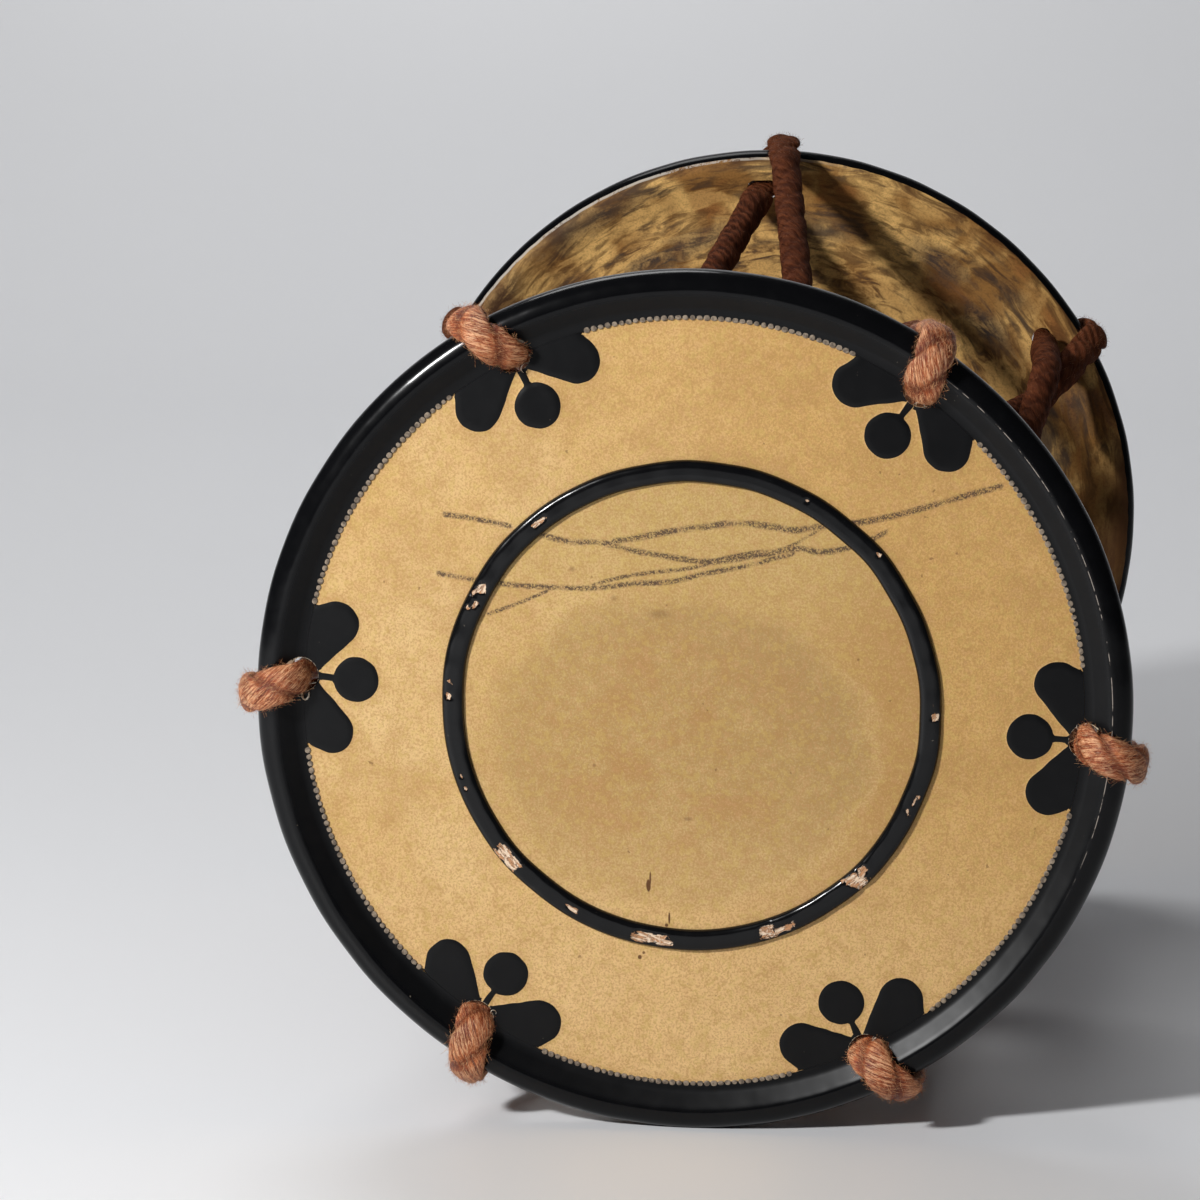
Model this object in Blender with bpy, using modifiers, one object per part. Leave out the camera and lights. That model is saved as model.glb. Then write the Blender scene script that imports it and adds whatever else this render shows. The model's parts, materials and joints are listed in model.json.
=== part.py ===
# Tsuzumi: a small hand drum of the kotsuzumi kind, standing on its two heads.
# The drum's axis runs along Y, the struck head faces -Y, and +Z is up. Units are metres.
# Azimuths are in degrees, clockwise from the top as seen from the struck head's side.

import math

import bmesh
import bpy
from mathutils import Matrix, Vector

# Overall sizes
HEAD_SPACING = 0.245        # between the planes of the two iron hoops
RIM_RADIUS = 0.100          # outside of the lacquered rim
GAP = 0.0003                # clearance between pieces that touch

# Hoop, hide and lacquer
ROD_RADIUS = 0.0024         # iron rod of the hoop
HIDE = 0.0008               # thickness of the horsehide
COAT = 0.0003               # thickness of the lacquer
SEAM_INSET = 0.0110         # from the rim's outside to the sewn seam
BAND_FLAT = 0.0016          # flat part of the lacquered band, from the seam outwards
HEM_WIDTH = 0.0024          # folded edge of the hide that reaches past the seam, inside
FACE_HEIGHT = 0.0010        # hide's face at the seam, above the hoop's plane
DOME = 0.0016               # how far the body's mouth pushes the hide out
THREAD_RADIUS = 0.00025     # sewing thread

# Cord holes and the lacquered petals round them
FRONT_HOLES = (34.8, 93.8, 153.1, 213.6, 273.4, 333.1)
REAR_HOLES = (-1.6, 57.0, 117.0, 177.0, 237.0, 297.0)
HOLE_INSET = 0.0101         # from the rim's outside to a hole's centre
HOLE_RADIUS = 0.0043
HOLE_OUTSIDE = 0.0073       # from the rim's outside to where a hole stops, short of the roll
PETAL_SIDE = 0.0126         # petal's round tip, sideways from the hole
PETAL_DEPTH = 0.0077        # petal's round tip, inwards from the hole
PETAL_RADIUS = 0.0052
PETAL_OUTER_LEAN = 67.0     # slope of a petal's outer edge
PETAL_INNER_LEAN = 44.0     # slope of a petal's inner edge
DOT_DEPTH = 0.0129          # dot's centre, inwards from the hole
DOT_RADIUS = 0.00525
STEM_TOP = 0.0008           # half width of the stem at the hole
STEM_FOOT = 0.00045         # half width of the stem at the dot
PETAL_LAP = 0.75            # share of the band's flat part that the petals run on to
HOLE_SIDES = 12

# Raised lacquer ring over the body's mouth, and the patch behind the rear head
RING_INNER = 0.0520
RING_WIDTH = 0.0050
RING_HEIGHT = 0.0013
RING_SHOULDER = 0.3         # share of its height that the ring's sides rise straight
RING_SEAT = 0.0001          # how far the ring has sunk into the hide
PATCH_RADIUS = 0.0110
PATCH = 0.0006

# Wooden body
MOUTH_RADIUS = 0.0540
MOUTH_WALL = 0.0060
BOWL_DEPTH = 0.0820
NECK_RADIUS = 0.0235
BORE_RADIUS = 0.0130
FLOOR_WALL = 0.0090         # wood left between the bowl's floor and its outside, along the axis

# Cords
CORD_RADIUS = 0.00435       # lacing cord where it lies over a rim
LEG_SHARE = 0.85            # share of its radius that the cord keeps on its legs, drawn tight
HOLE_SQUEEZE = 0.82         # and in a hole
SQUEEZE_START = -40.0       # angle round the rod where it starts to thin towards the hole
SQUEEZE_FULL = -90.0        # and where it has thinned
FLATTEN = 0.48              # share of its thickness that the cord keeps over a rim
HOLE_FLATTEN = 0.68         # and in a hole
ROUND_START = -35.0         # angle round the rod where it starts to get thicker towards the hole
ROUND_FULL = -80.0          # and where it is as thick as in the hole
ROUND_FADE = 40.0           # degrees before the rod's back where this ends
FLATTEN_REACH = 0.0130      # distance from the rod's middle where it starts to round again
FLATTEN_FADE = 0.0140       # further distance over which it becomes round
WAIST_RADIUS = 0.0660       # lacing's legs, where the waist cord draws them in
WAIST_HALF = 0.0140         # half of the straight stretch under the waist cord
FOOT_CUT = 0.1              # share of the cord's diameter cut flat where the drum stands on it
LAP_RADIUS = 0.0040         # waist cord
LAP_PITCH = 0.0092
LAP_TURNS = 2
LAP_START = 227             # azimuth of the leg where the winding starts and ends
LAP_DIP = 0.0016            # how far the waist cord sinks between two legs
TUCK_SHARES = (0.15, 0.3, 0.5, 0.7, 0.85)           # points between two legs where its ends pass inside
TUCK_END = 0.3              # share of the next gap that an end runs on behind a leg

# The cord visits these stations in turn: head, hole number, and the side it enters by.
# The last value is the azimuth at the waist of the leg that follows.
ROUTE = (
    ("front", 5, "hole", 316), ("rear", 5, "rim", 287), ("front", 4, "hole", 257), ("rear", 4, "rim", 227),
    ("front", 3, "hole", 197), ("rear", 3, "rim", 167), ("front", 2, "hole", 139), ("rear", 2, "rim", 111),
    ("front", 1, "rim", 78), ("rear", 1, "hole", 55), ("front", 0, "hole", 14), ("rear", 0, "rim", -14),
)
# Before the rear head's second hole one leg rides over its neighbour, which dives under it.
# Each is named by the station that it leaves: where it bends, as radius, azimuth and place along the axis.
CROSSINGS = {("front", 1): (0.0899, 58.0, 0.0775), ("rear", 1): (0.0825, 63.8, 0.0956)}
DIVE_SIDE = 127.0           # angle round the rod where the diving leg leaves it
FRONT_LEANS = (-2.0, 2.5, -2.5, -3.0, -3.0, -3.5)   # from each hole to the crest of the rim, degrees
REAR_LEAN = 3.4
HOLE_SIDE = -100.0          # angle round the rod where the cord leaves it inside
RIM_SIDE = 106.0            # and outside; 0 faces out of the drum, 90 away from its axis
LOOP_STEPS = 7

FOLD_ANGLE = 120            # how far round the rod the hide is rolled, from its outermost point, both ways
COAT_ANGLE = 80             # how far the lacquer reaches behind the rim

TURNED = 38                 # facets of a turned piece; one of them faces straight down
ARC_STEP = 40               # degrees between two points of the rolled rim's section
FOLD_STEP = 60              # and between two points inside the fold
MERGE = 0.00001             # points nearer than this are welded

# Sizes that follow from these
FOLD_INNER = ROD_RADIUS + GAP
FOLD_OUTER = FOLD_INNER + HIDE
COAT_INNER = FOLD_OUTER + GAP
COAT_OUTER = COAT_INNER + COAT
HOOP_RADIUS = RIM_RADIUS - COAT_OUTER
SEAM_RADIUS = RIM_RADIUS - SEAM_INSET
HOLE_CENTRE = RIM_RADIUS - HOLE_INSET
RING_OUTER = RING_INNER + RING_WIDTH
FACE_TOP = FACE_HEIGHT + DOME
RING_BED = FACE_TOP - RING_SEAT
CONE = (DOME - RING_SEAT) / (SEAM_RADIUS - RING_OUTER)  # slope of the hide between ring and seam
BODY_HALF = HEAD_SPACING / 2 + FACE_TOP - HIDE - GAP
CORD_BASE = COAT_OUTER + GAP                        # nearest the cord comes to the rod's middle
CORD_CREST = HOOP_RADIUS + CORD_BASE + 2 * CORD_RADIUS * FLATTEN
FOOT_RADIUS = CORD_CREST - 2 * CORD_RADIUS * FOOT_CUT
RIM_FACET = RIM_RADIUS * math.cos(math.pi / TURNED)  # from the axis to the facet that the drum stands on
TILT = math.atan((FOOT_RADIUS - RIM_FACET) / HEAD_SPACING)
AXIS_HEIGHT = RIM_FACET * math.cos(TILT) + HEAD_SPACING / 2 * math.sin(TILT)


def polar(radius, azimuth):
    """A point on a head's plane, X to the right and Y up as seen from outside the struck head."""
    a = math.radians(azimuth)
    return radius * math.sin(a), radius * math.cos(a)


def arc(centre, radius, start, end, steps):
    """Points on a circle, from one angle to another, in degrees."""
    angles = [math.radians(start + (end - start) * i / steps) for i in range(steps + 1)]
    return [(centre[0] + radius * math.cos(a), centre[1] + radius * math.sin(a)) for a in angles]


def rim_arc(radius, start, end, step=ARC_STEP):
    """Points round the hoop's rod, in steps that every layer of the rim shares."""
    return arc((HOOP_RADIUS, 0.0), radius, start, end, abs(start - end) // step)


def smooth(t):
    """0 below 0, 1 above 1, and an even rise between them."""
    t = min(max(t, 0.0), 1.0)
    return t * t * (3 - 2 * t)


def new_collection(name):
    collection = bpy.data.collections.new(name)
    bpy.context.scene.collection.children.link(collection)
    return collection


for old in list(bpy.data.objects):
    bpy.data.objects.remove(old, do_unlink=True)
parts = new_collection("tsuzumi")
helpers = new_collection("helpers")


def material(name, colour, roughness, metallic=0.0):
    mat = bpy.data.materials.new(name)
    mat.use_nodes = True
    bsdf = mat.node_tree.nodes["Principled BSDF"]
    bsdf.inputs["Base Color"].default_value = (*colour, 1.0)
    bsdf.inputs["Roughness"].default_value = roughness
    bsdf.inputs["Metallic"].default_value = metallic
    return mat


IRON = material("hoop_iron", (0.10, 0.085, 0.075), 0.6, 1.0)
HORSEHIDE = material("horsehide", (0.58, 0.38, 0.17), 0.6)
BLACK_LACQUER = material("black_lacquer", (0.012, 0.012, 0.014), 0.22)
BODY_LACQUER = material("body_lacquer", (0.030, 0.016, 0.012), 0.3)
THREAD = material("thread", (0.50, 0.44, 0.34), 0.8)
DEERSKIN = material("deerskin", (0.52, 0.40, 0.25), 0.85)
HEMP = material("hemp", (0.42, 0.15, 0.06), 0.9)


def frame_empty(name, parent, location, rotation):
    empty = bpy.data.objects.new(name, None)
    helpers.objects.link(empty)
    empty.parent = parent
    empty.location = location
    empty.rotation_euler = rotation
    return empty


# The drum stands on its struck head's rim and, at the rear, on one loop of its lacing,
# so its axis rises a little towards the rear.
drum_frame = frame_empty("drum_frame", None, (0, 0, AXIS_HEIGHT), (TILT, 0, 0))
# In a head's own frame the hide's face looks along +Z and Y is up.
FRAMES = {
    "body": frame_empty("body_frame", drum_frame, (0, 0, 0), (math.pi / 2, 0, 0)),
    "front": frame_empty("front_head_frame", drum_frame, (0, -HEAD_SPACING / 2, 0), (math.pi / 2, 0, 0)),
    "rear": frame_empty("rear_head_frame", drum_frame, (0, HEAD_SPACING / 2, 0), (math.pi / 2, 0, math.pi)),
}


def move_to(obj, collection):
    for owner in obj.users_collection:
        owner.objects.unlink(obj)
    collection.objects.link(obj)


def add_object(name, data, frame, mat=None):
    """Link an object to its frame, as a part with a material or as a hidden helper."""
    obj = bpy.data.objects.new(name, data)
    if mat:
        parts.objects.link(obj)
        data.materials.append(mat)
    else:
        helpers.objects.link(obj)
        obj.hide_render = True
        obj.display_type = "WIRE"
    obj.parent = frame
    return obj


def turned(name, profile, frame, mat, closed=True):
    """A turned solid from points (radius, height) that run down its outer side."""
    mesh = bpy.data.meshes.new(name)
    edges = [(i, i + 1) for i in range(len(profile) - 1)]
    if closed:
        edges.append((len(profile) - 1, 0))
    mesh.from_pydata([(r, 0, h) for r, h in profile], edges, [])
    obj = add_object(name, mesh, frame, mat)
    screw = obj.modifiers.new("turn", "SCREW")
    screw.steps = TURNED
    screw.render_steps = TURNED
    screw.use_merge_vertices = True
    screw.merge_threshold = MERGE
    screw.use_smooth_shade = True
    return obj


def curve_mesh(curve_object):
    """The welded mesh of a curve object, which it replaces, so that it can be cut or joined."""
    bpy.context.view_layer.update()
    depsgraph = bpy.context.evaluated_depsgraph_get()
    mesh = bpy.data.meshes.new_from_object(curve_object.evaluated_get(depsgraph))
    mesh.materials.clear()
    bpy.data.objects.remove(curve_object, do_unlink=True)
    bm = bmesh.new()
    bm.from_mesh(mesh)
    bmesh.ops.remove_doubles(bm, verts=bm.verts, dist=MERGE)
    bm.to_mesh(mesh)
    bm.free()
    return mesh


def around(name, mesh, azimuths, frame):
    """A helper that holds a copy of a mesh at each azimuth of a head."""
    bm = bmesh.new()
    for azimuth in azimuths:
        first = len(bm.verts)
        bm.from_mesh(mesh)
        bm.verts.ensure_lookup_table()
        turn = Matrix.Rotation(-math.radians(azimuth), 4, "Z")
        bmesh.ops.transform(bm, matrix=turn, verts=bm.verts[first:])
    joined = bpy.data.meshes.new(name)
    bm.to_mesh(joined)
    bm.free()
    return add_object(name, joined, frame)


def boolean(obj, other, operation):
    mod = obj.modifiers.new(operation.lower(), "BOOLEAN")
    mod.operation = operation
    mod.solver = "EXACT"
    mod.object = other


def motif_outline():
    """Two petals, a stem and a dot as one outline. Its top runs along the lacquered band."""
    tip = (PETAL_SIDE, HOLE_CENTRE - PETAL_DEPTH)
    band = SEAM_RADIUS + BAND_FLAT * PETAL_LAP
    rise = math.tan(math.radians(PETAL_OUTER_LEAN))
    petal = arc(tip, PETAL_RADIUS, 90 - PETAL_OUTER_LEAN, PETAL_INNER_LEAN - 180, steps=7)
    shoulder = petal[0][0] - (band - petal[0][1]) / rise
    crown = [(shoulder * share, math.sqrt(band ** 2 - (shoulder * share) ** 2)) for share in (0.5, 1.0)]
    crotch = (STEM_TOP, HOLE_CENTRE - HOLE_RADIUS - STEM_TOP)
    dot = (0.0, HOLE_CENTRE - DOT_DEPTH)
    half_stem = math.degrees(math.asin(STEM_FOOT / DOT_RADIUS))
    round_dot = arc(dot, DOT_RADIUS, 90 - half_stem, -90, steps=6)
    right = crown + petal + [crotch] + round_dot
    left = [(-x, y) for x, y in reversed(right[:-1])]
    return right + left


def motif_mesh(low):
    """The motif as a thin plate on the hide, which it follows by leaning about the seam."""
    curve = bpy.data.curves.new("motif", "CURVE")
    curve.dimensions = "2D"
    curve.fill_mode = "BOTH"
    curve.extrude = COAT / 2
    outline = motif_outline()
    spline = curve.splines.new("POLY")
    spline.points.add(len(outline) - 1)
    spline.use_cyclic_u = True
    for point, (x, y) in zip(spline.points, outline):
        point.co = (x, y, 0, 1)
    mesh = curve_mesh(add_object("motif", curve, None))
    lean = Matrix.Rotation(-math.atan(CONE), 4, "X")
    seam = Vector((0, SEAM_RADIUS, 0))
    onto_hide = Matrix.Translation(seam + Vector((0, 0, low + COAT / 2)))
    mesh.transform(onto_hide @ lean @ Matrix.Translation(-seam))
    return mesh


def hole_mesh():
    """A cutter through the rim where the cord passes."""
    mesh = bpy.data.meshes.new("hole")
    bm = bmesh.new()
    bmesh.ops.create_cone(bm, cap_ends=True, segments=HOLE_SIDES, radius1=HOLE_RADIUS, radius2=HOLE_RADIUS,
                          depth=6 * FOLD_OUTER, matrix=Matrix.Translation((0, HOLE_CENTRE, 0)))
    for vertex in bm.verts:
        vertex.co.y = min(vertex.co.y, RIM_RADIUS - HOLE_OUTSIDE)
    bm.to_mesh(mesh)
    bm.free()
    return mesh


def make_hide(side, cutter):
    """The hide: stretched over the hoop, folded round it and sewn down on the inside."""
    flat_end = SEAM_RADIUS + BAND_FLAT
    inner_face = FACE_HEIGHT - HIDE
    hem_face = inner_face - GAP
    hem_back = hem_face - HIDE
    hem_edge = SEAM_RADIUS - HEM_WIDTH
    fold_start = HOOP_RADIUS - FOLD_INNER
    profile = [(0, FACE_TOP), (RING_INNER - GAP, FACE_TOP), (RING_INNER, RING_BED), (RING_OUTER, RING_BED)]
    profile += [(SEAM_RADIUS, FACE_HEIGHT), (flat_end, FACE_HEIGHT)]
    profile += rim_arc(FOLD_OUTER, FOLD_ANGLE, -FOLD_ANGLE)
    profile += [(fold_start - HIDE, hem_back), (hem_edge, hem_back)]
    profile += [(hem_edge, hem_face), (fold_start, hem_face)]
    profile += rim_arc(FOLD_INNER, -FOLD_ANGLE, FOLD_ANGLE, FOLD_STEP)
    profile += [(fold_start, inner_face), (SEAM_RADIUS, inner_face), (RING_OUTER, FACE_TOP - HIDE)]
    profile += [(0, FACE_TOP - HIDE)]
    hide = turned(side + "_hide", profile, FRAMES[side], HORSEHIDE, closed=False)
    boolean(hide, cutter, "DIFFERENCE")


def make_rim_lacquer(side, holes, cutter):
    """The black lacquer: the rim's coat and the petals and dots that strengthen the cord holes."""
    low = FACE_HEIGHT + GAP
    high = low + COAT
    band_edge = SEAM_RADIUS + THREAD_RADIUS
    flat_end = SEAM_RADIUS + BAND_FLAT
    profile = [(band_edge, high), (flat_end, high)]
    profile += rim_arc(COAT_OUTER, FOLD_ANGLE, -COAT_ANGLE) + rim_arc(COAT_INNER, -COAT_ANGLE, FOLD_ANGLE)
    profile += [(flat_end, low), (band_edge, low)]
    coat = turned(side + "_rim_lacquer", profile, FRAMES[side], BLACK_LACQUER)
    motifs = around(side + "_motifs", motif_mesh(low), holes, FRAMES[side])
    boolean(coat, motifs, "UNION")
    boolean(coat, cutter, "DIFFERENCE")


def make_ring_lacquer(side):
    """The raised lacquer ring that stands over the body's mouth."""
    base = RING_BED + GAP
    middle = RING_INNER + RING_WIDTH / 2
    shoulder = RING_HEIGHT * RING_SHOULDER
    swell = RING_HEIGHT - shoulder
    steps = 4
    profile = []
    for i in range(steps + 1):
        a = math.pi * i / steps
        profile.append((middle - RING_WIDTH / 2 * math.cos(a), base + shoulder + swell * math.sin(a)))
    profile += [(RING_OUTER, base), (RING_INNER, base)]
    turned(side + "_ring_lacquer", profile, FRAMES[side], BLACK_LACQUER)


def tube(name, points, radius, frame, mat, bevel_resolution, cyclic=False, shares=None):
    """A cord or thread as a bevelled poly curve. Shares thin it at single points."""
    curve = bpy.data.curves.new(name, "CURVE")
    curve.dimensions = "3D"
    curve.bevel_depth = radius
    curve.bevel_resolution = bevel_resolution
    curve.use_fill_caps = not cyclic
    spline = curve.splines.new("POLY")
    spline.points.add(len(points) - 1)
    spline.use_cyclic_u = cyclic
    for i, point in enumerate(points):
        spline.points[i].co = (*point, 1.0)
        spline.points[i].radius = shares[i] if shares else 1.0
    return add_object(name, curve, frame, mat)


def make_stitching(side, holes):
    """The sewing thread along the seam, from one pair of petals to the next."""
    radius = SEAM_RADIUS - 2 * THREAD_RADIUS
    height = FACE_HEIGHT + CONE * 2 * THREAD_RADIUS + GAP + THREAD_RADIUS
    petal_edge = math.degrees(math.asin((PETAL_SIDE + PETAL_RADIUS) / SEAM_RADIUS))
    steps = 6
    for number, hole in enumerate(holes):
        following = holes[(number + 1) % len(holes)]
        start = hole + petal_edge
        span = (following - hole) % 360 - 2 * petal_edge
        points = [(*polar(radius, start + span * i / steps), height) for i in range(steps + 1)]
        tube(f"{side}_stitching_{number + 1}", points, THREAD_RADIUS, FRAMES[side], THREAD, 0)


def make_hoop(side):
    """The iron hoop inside the rim."""
    bpy.ops.mesh.primitive_torus_add(
        major_radius=HOOP_RADIUS, minor_radius=ROD_RADIUS, major_segments=TURNED, minor_segments=6)
    hoop = bpy.context.object
    hoop.name = side + "_hoop"
    hoop.data.name = side + "_hoop"
    move_to(hoop, parts)
    hoop.data.materials.append(IRON)
    hoop.data.shade_smooth()
    hoop.parent = FRAMES[side]


def make_head(side, holes):
    cutter = around(side + "_hole_cutter", hole_mesh(), holes, FRAMES[side])
    make_hoop(side)
    make_hide(side, cutter)
    make_rim_lacquer(side, holes, cutter)
    make_ring_lacquer(side)
    make_stitching(side, holes)


make_head("front", FRONT_HOLES)
# In the rear head's own frame azimuths run the other way.
make_head("rear", [-azimuth for azimuth in reversed(REAR_HOLES)])

# The deerskin patch behind the middle of the rear hide
patch_top = FACE_TOP - HIDE - GAP
turned("rear_tone_patch", [(0, patch_top), (PATCH_RADIUS, patch_top), (PATCH_RADIUS, patch_top - PATCH),
                           (0, patch_top - PATCH)], FRAMES["rear"], DEERSKIN, closed=False)


def bowl(mouth, throat, depth, steps):
    """Points (radius, height) down a bowl, from its mouth to its throat."""
    points = []
    for i in range(steps + 1):
        a = math.pi / 2 * i / steps
        points.append((throat + (mouth - throat) * math.cos(a), BODY_HALF - depth * math.sin(a)))
    return points


def make_body():
    """The hourglass body: two bowls on a bored neck, carved from one block."""
    outer = bowl(MOUTH_RADIUS, NECK_RADIUS, BOWL_DEPTH, steps=7)
    inner = bowl(MOUTH_RADIUS - MOUTH_WALL, BORE_RADIUS, BOWL_DEPTH - FLOOR_WALL, steps=5)
    down = outer + [(r, -h) for r, h in reversed(outer)]
    up = [(r, -h) for r, h in inner] + list(reversed(inner))
    turned("drum_body", down + up, FRAMES["body"], BODY_LACQUER)


make_body()


def station(side, number, enters):
    """The cord's points over a rim, from the hole to the outside, or back."""
    if side == "front":
        sign, hole, lean = -1, FRONT_HOLES[number], FRONT_LEANS[number]
    else:
        sign, hole, lean = 1, REAR_HOLES[number], REAR_LEAN
    distance = CORD_BASE + CORD_RADIUS
    rim_side = DIVE_SIDE if (side, number) == ("rear", 1) else RIM_SIDE
    points = []
    for i in range(LOOP_STEPS + 1):
        angle = HOLE_SIDE + (rim_side - HOLE_SIDE) * i / LOOP_STEPS
        a = math.radians(angle)
        across = smooth((angle + 90) / 180)
        x, z = polar(HOOP_RADIUS + distance * math.sin(a), hole + lean * across)
        point = Vector((x, sign * (HEAD_SPACING / 2 + distance * math.cos(a)), z))
        squeeze = smooth((angle - SQUEEZE_START) / (SQUEEZE_FULL - SQUEEZE_START))
        thickness = 1 - (1 - HOLE_SQUEEZE) * squeeze
        points.append((point, thickness))
    return points if enters == "hole" else points[::-1]


def flatten_on_rims(point):
    """Press a point of the cord towards the hoops, so that the cord lies flat over the rims."""
    across = math.hypot(point.x, point.z)
    plane = math.copysign(HEAD_SPACING / 2, point.y)
    out, along = across - HOOP_RADIUS, point.y - plane
    distance = math.hypot(out, along)
    angle = math.degrees(math.atan2(out, along * math.copysign(1, plane)))
    in_hole = smooth((angle - ROUND_START) / (ROUND_FULL - ROUND_START)) * smooth((angle + 180) / ROUND_FADE)
    flat = FLATTEN + (HOLE_FLATTEN - FLATTEN) * in_hole
    share = flat + (1 - flat) * smooth((distance - FLATTEN_REACH) / FLATTEN_FADE)
    pressed = (CORD_BASE + (distance - CORD_BASE) * share) / distance
    scale = (HOOP_RADIUS + out * pressed) / across
    return Vector((point.x * scale, plane + along * pressed, point.z * scale))


def lacing_route():
    """The closed route of the lacing cord, as points and shares of its radius."""
    stops = [station(side, number, enters) for side, number, enters, waist in ROUTE]
    route = []
    for i, stop in enumerate(stops):
        leave = flatten_on_rims(stop[-1][0])
        arrive = flatten_on_rims(stops[(i + 1) % len(stops)][0][0])
        forward = 1 if ROUTE[i][0] == "front" else -1
        x, z = polar(WAIST_RADIUS, ROUTE[i][3])
        near = Vector((x, -forward * WAIST_HALF, z))
        far = Vector((x, forward * WAIST_HALF, z))
        bends = [near, far]
        if ROUTE[i][:2] in CROSSINGS:
            radius, azimuth, along = CROSSINGS[ROUTE[i][:2]]
            x, z = polar(radius, azimuth)
            bends.insert(2 if forward == 1 else 0, Vector((x, along, z)))
        # Each run is straight from the flattened loop to its first bend, and round again from here on.
        round_again = FLATTEN_REACH + FLATTEN_FADE
        run = [leave + (bends[0] - leave).normalized() * round_again, *bends,
               arrive + (bends[-1] - arrive).normalized() * round_again]
        route += stop + [(point, LEG_SHARE) for point in run]
    return route


def make_lacing():
    """The lacing cord: one closed cord that runs twelve times between the heads."""
    route = lacing_route()
    curve = tube("lacing", [point for point, share in route], CORD_RADIUS, drum_frame, HEMP, 2,
                 cyclic=True, shares=[share for point, share in route])
    mesh = curve_mesh(curve)
    for vertex in mesh.vertices:
        vertex.co = flatten_on_rims(vertex.co)
    lacing = add_object("lacing_cord", mesh, drum_frame, HEMP)
    # The loop that the drum stands on is cut flat by the ground.
    bpy.ops.mesh.primitive_cube_add(size=2 * HEAD_SPACING, location=(0, 0, -HEAD_SPACING))
    ground = bpy.context.object
    ground.name = "ground"
    move_to(ground, helpers)
    ground.hide_render = True
    ground.display_type = "WIRE"
    boolean(lacing, ground, "DIFFERENCE")


make_lacing()


def least_gap(points, radius, skip):
    """The least clear distance of a tube to itself, between points more than skip apart on it."""
    gaps = [(a - b).length - 2 * radius for i, a in enumerate(points) for b in points[i + skip:]]
    return min(gaps)


def make_waist_cord():
    """The waist cord: wound round the twelve legs, with its ends tucked in behind two of them."""
    leg = CORD_RADIUS * LEG_SHARE
    outside = WAIST_RADIUS + leg + GAP + LAP_RADIUS
    inside = WAIST_RADIUS - leg - GAP - LAP_RADIUS
    legs = sorted(waist % 360 for side, number, enters, waist in ROUTE)
    first = legs.index(LAP_START)
    count = len(legs)
    total = LAP_TURNS * count

    def leg_azimuth(number):
        return legs[number % count] + 360 * (number // count)

    def lap_point(number, share, radius):
        """A point between one leg, counted from the first, and the next."""
        start, end = leg_azimuth(first + number), leg_azimuth(first + number + 1)
        azimuth = start + (end - start) * share
        turn = min(max((azimuth - LAP_START) / 360, 0), LAP_TURNS)
        x, z = polar(radius, azimuth)
        return Vector((x, (turn - LAP_TURNS / 2) * LAP_PITCH, z))

    tuck = [(share, outside + (inside - outside) * smooth((share - 0.1) / 0.8)) for share in TUCK_SHARES]
    points = [lap_point(-2, 1 - TUCK_END, inside), lap_point(-1, 0, inside)]
    points += [lap_point(-1, 1 - share, radius) for share, radius in reversed(tuck)]
    for number in range(total):
        points += [lap_point(number, 0, outside), lap_point(number, 0.5, outside - LAP_DIP)]
    points.append(lap_point(total, 0, outside))
    points += [lap_point(total, share, radius) for share, radius in tuck]
    points += [lap_point(total + 1, 0, inside), lap_point(total + 1, TUCK_END, inside)]
    tube("waist_cord", points, LAP_RADIUS, drum_frame, HEMP, 1)
    print("least gap of the waist cord to itself, mm:", round(least_gap(points, LAP_RADIUS, 6) * 1000, 2))


make_waist_cord()
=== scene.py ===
import json
import math

import bmesh
import bpy
import numpy as np
from mathutils import Matrix, Vector


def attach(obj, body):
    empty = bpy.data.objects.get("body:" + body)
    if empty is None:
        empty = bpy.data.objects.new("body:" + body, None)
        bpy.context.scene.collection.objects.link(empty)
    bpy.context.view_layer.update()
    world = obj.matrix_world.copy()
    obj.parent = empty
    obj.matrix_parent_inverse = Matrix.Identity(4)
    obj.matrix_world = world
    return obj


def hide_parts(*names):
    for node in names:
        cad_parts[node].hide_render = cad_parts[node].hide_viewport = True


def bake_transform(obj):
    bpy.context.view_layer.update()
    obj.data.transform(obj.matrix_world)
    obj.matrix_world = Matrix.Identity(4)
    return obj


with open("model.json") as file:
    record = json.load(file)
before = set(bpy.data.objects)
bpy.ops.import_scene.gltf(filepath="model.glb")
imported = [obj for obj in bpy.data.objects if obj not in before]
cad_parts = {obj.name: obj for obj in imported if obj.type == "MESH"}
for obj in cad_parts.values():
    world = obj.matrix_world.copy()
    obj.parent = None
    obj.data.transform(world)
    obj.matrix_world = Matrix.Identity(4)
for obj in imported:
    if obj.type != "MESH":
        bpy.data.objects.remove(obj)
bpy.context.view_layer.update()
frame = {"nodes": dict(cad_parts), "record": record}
print("frame loaded")

# Sizes are in millimetres in the drum's own frame: X right, Y from the struck head to the rear
# one, Z up, origin in the drum's middle. A head's height is measured outwards from its hoop's plane.
mm = 0.001
mounts = {m["name"]: Vector(m["pos_m"]) for m in frame["record"]["mounts"]}
faceTop = 2.6                                       # hide's middle above the hoop's plane
drumAxis = mounts["rear_face"] - mounts["struck_face"]
headSpacing = drumAxis.length / mm - 2 * faceTop
tilt = math.atan2(drumAxis.z, drumAxis.y)
middle = (mounts["rear_face"] + mounts["struck_face"]) / 2
place = Matrix.Translation(middle) @ Matrix.Rotation(tilt, 4, "X")
axisDirection = (place.to_3x3() @ Vector((0, 1, 0))).normalized()

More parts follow.
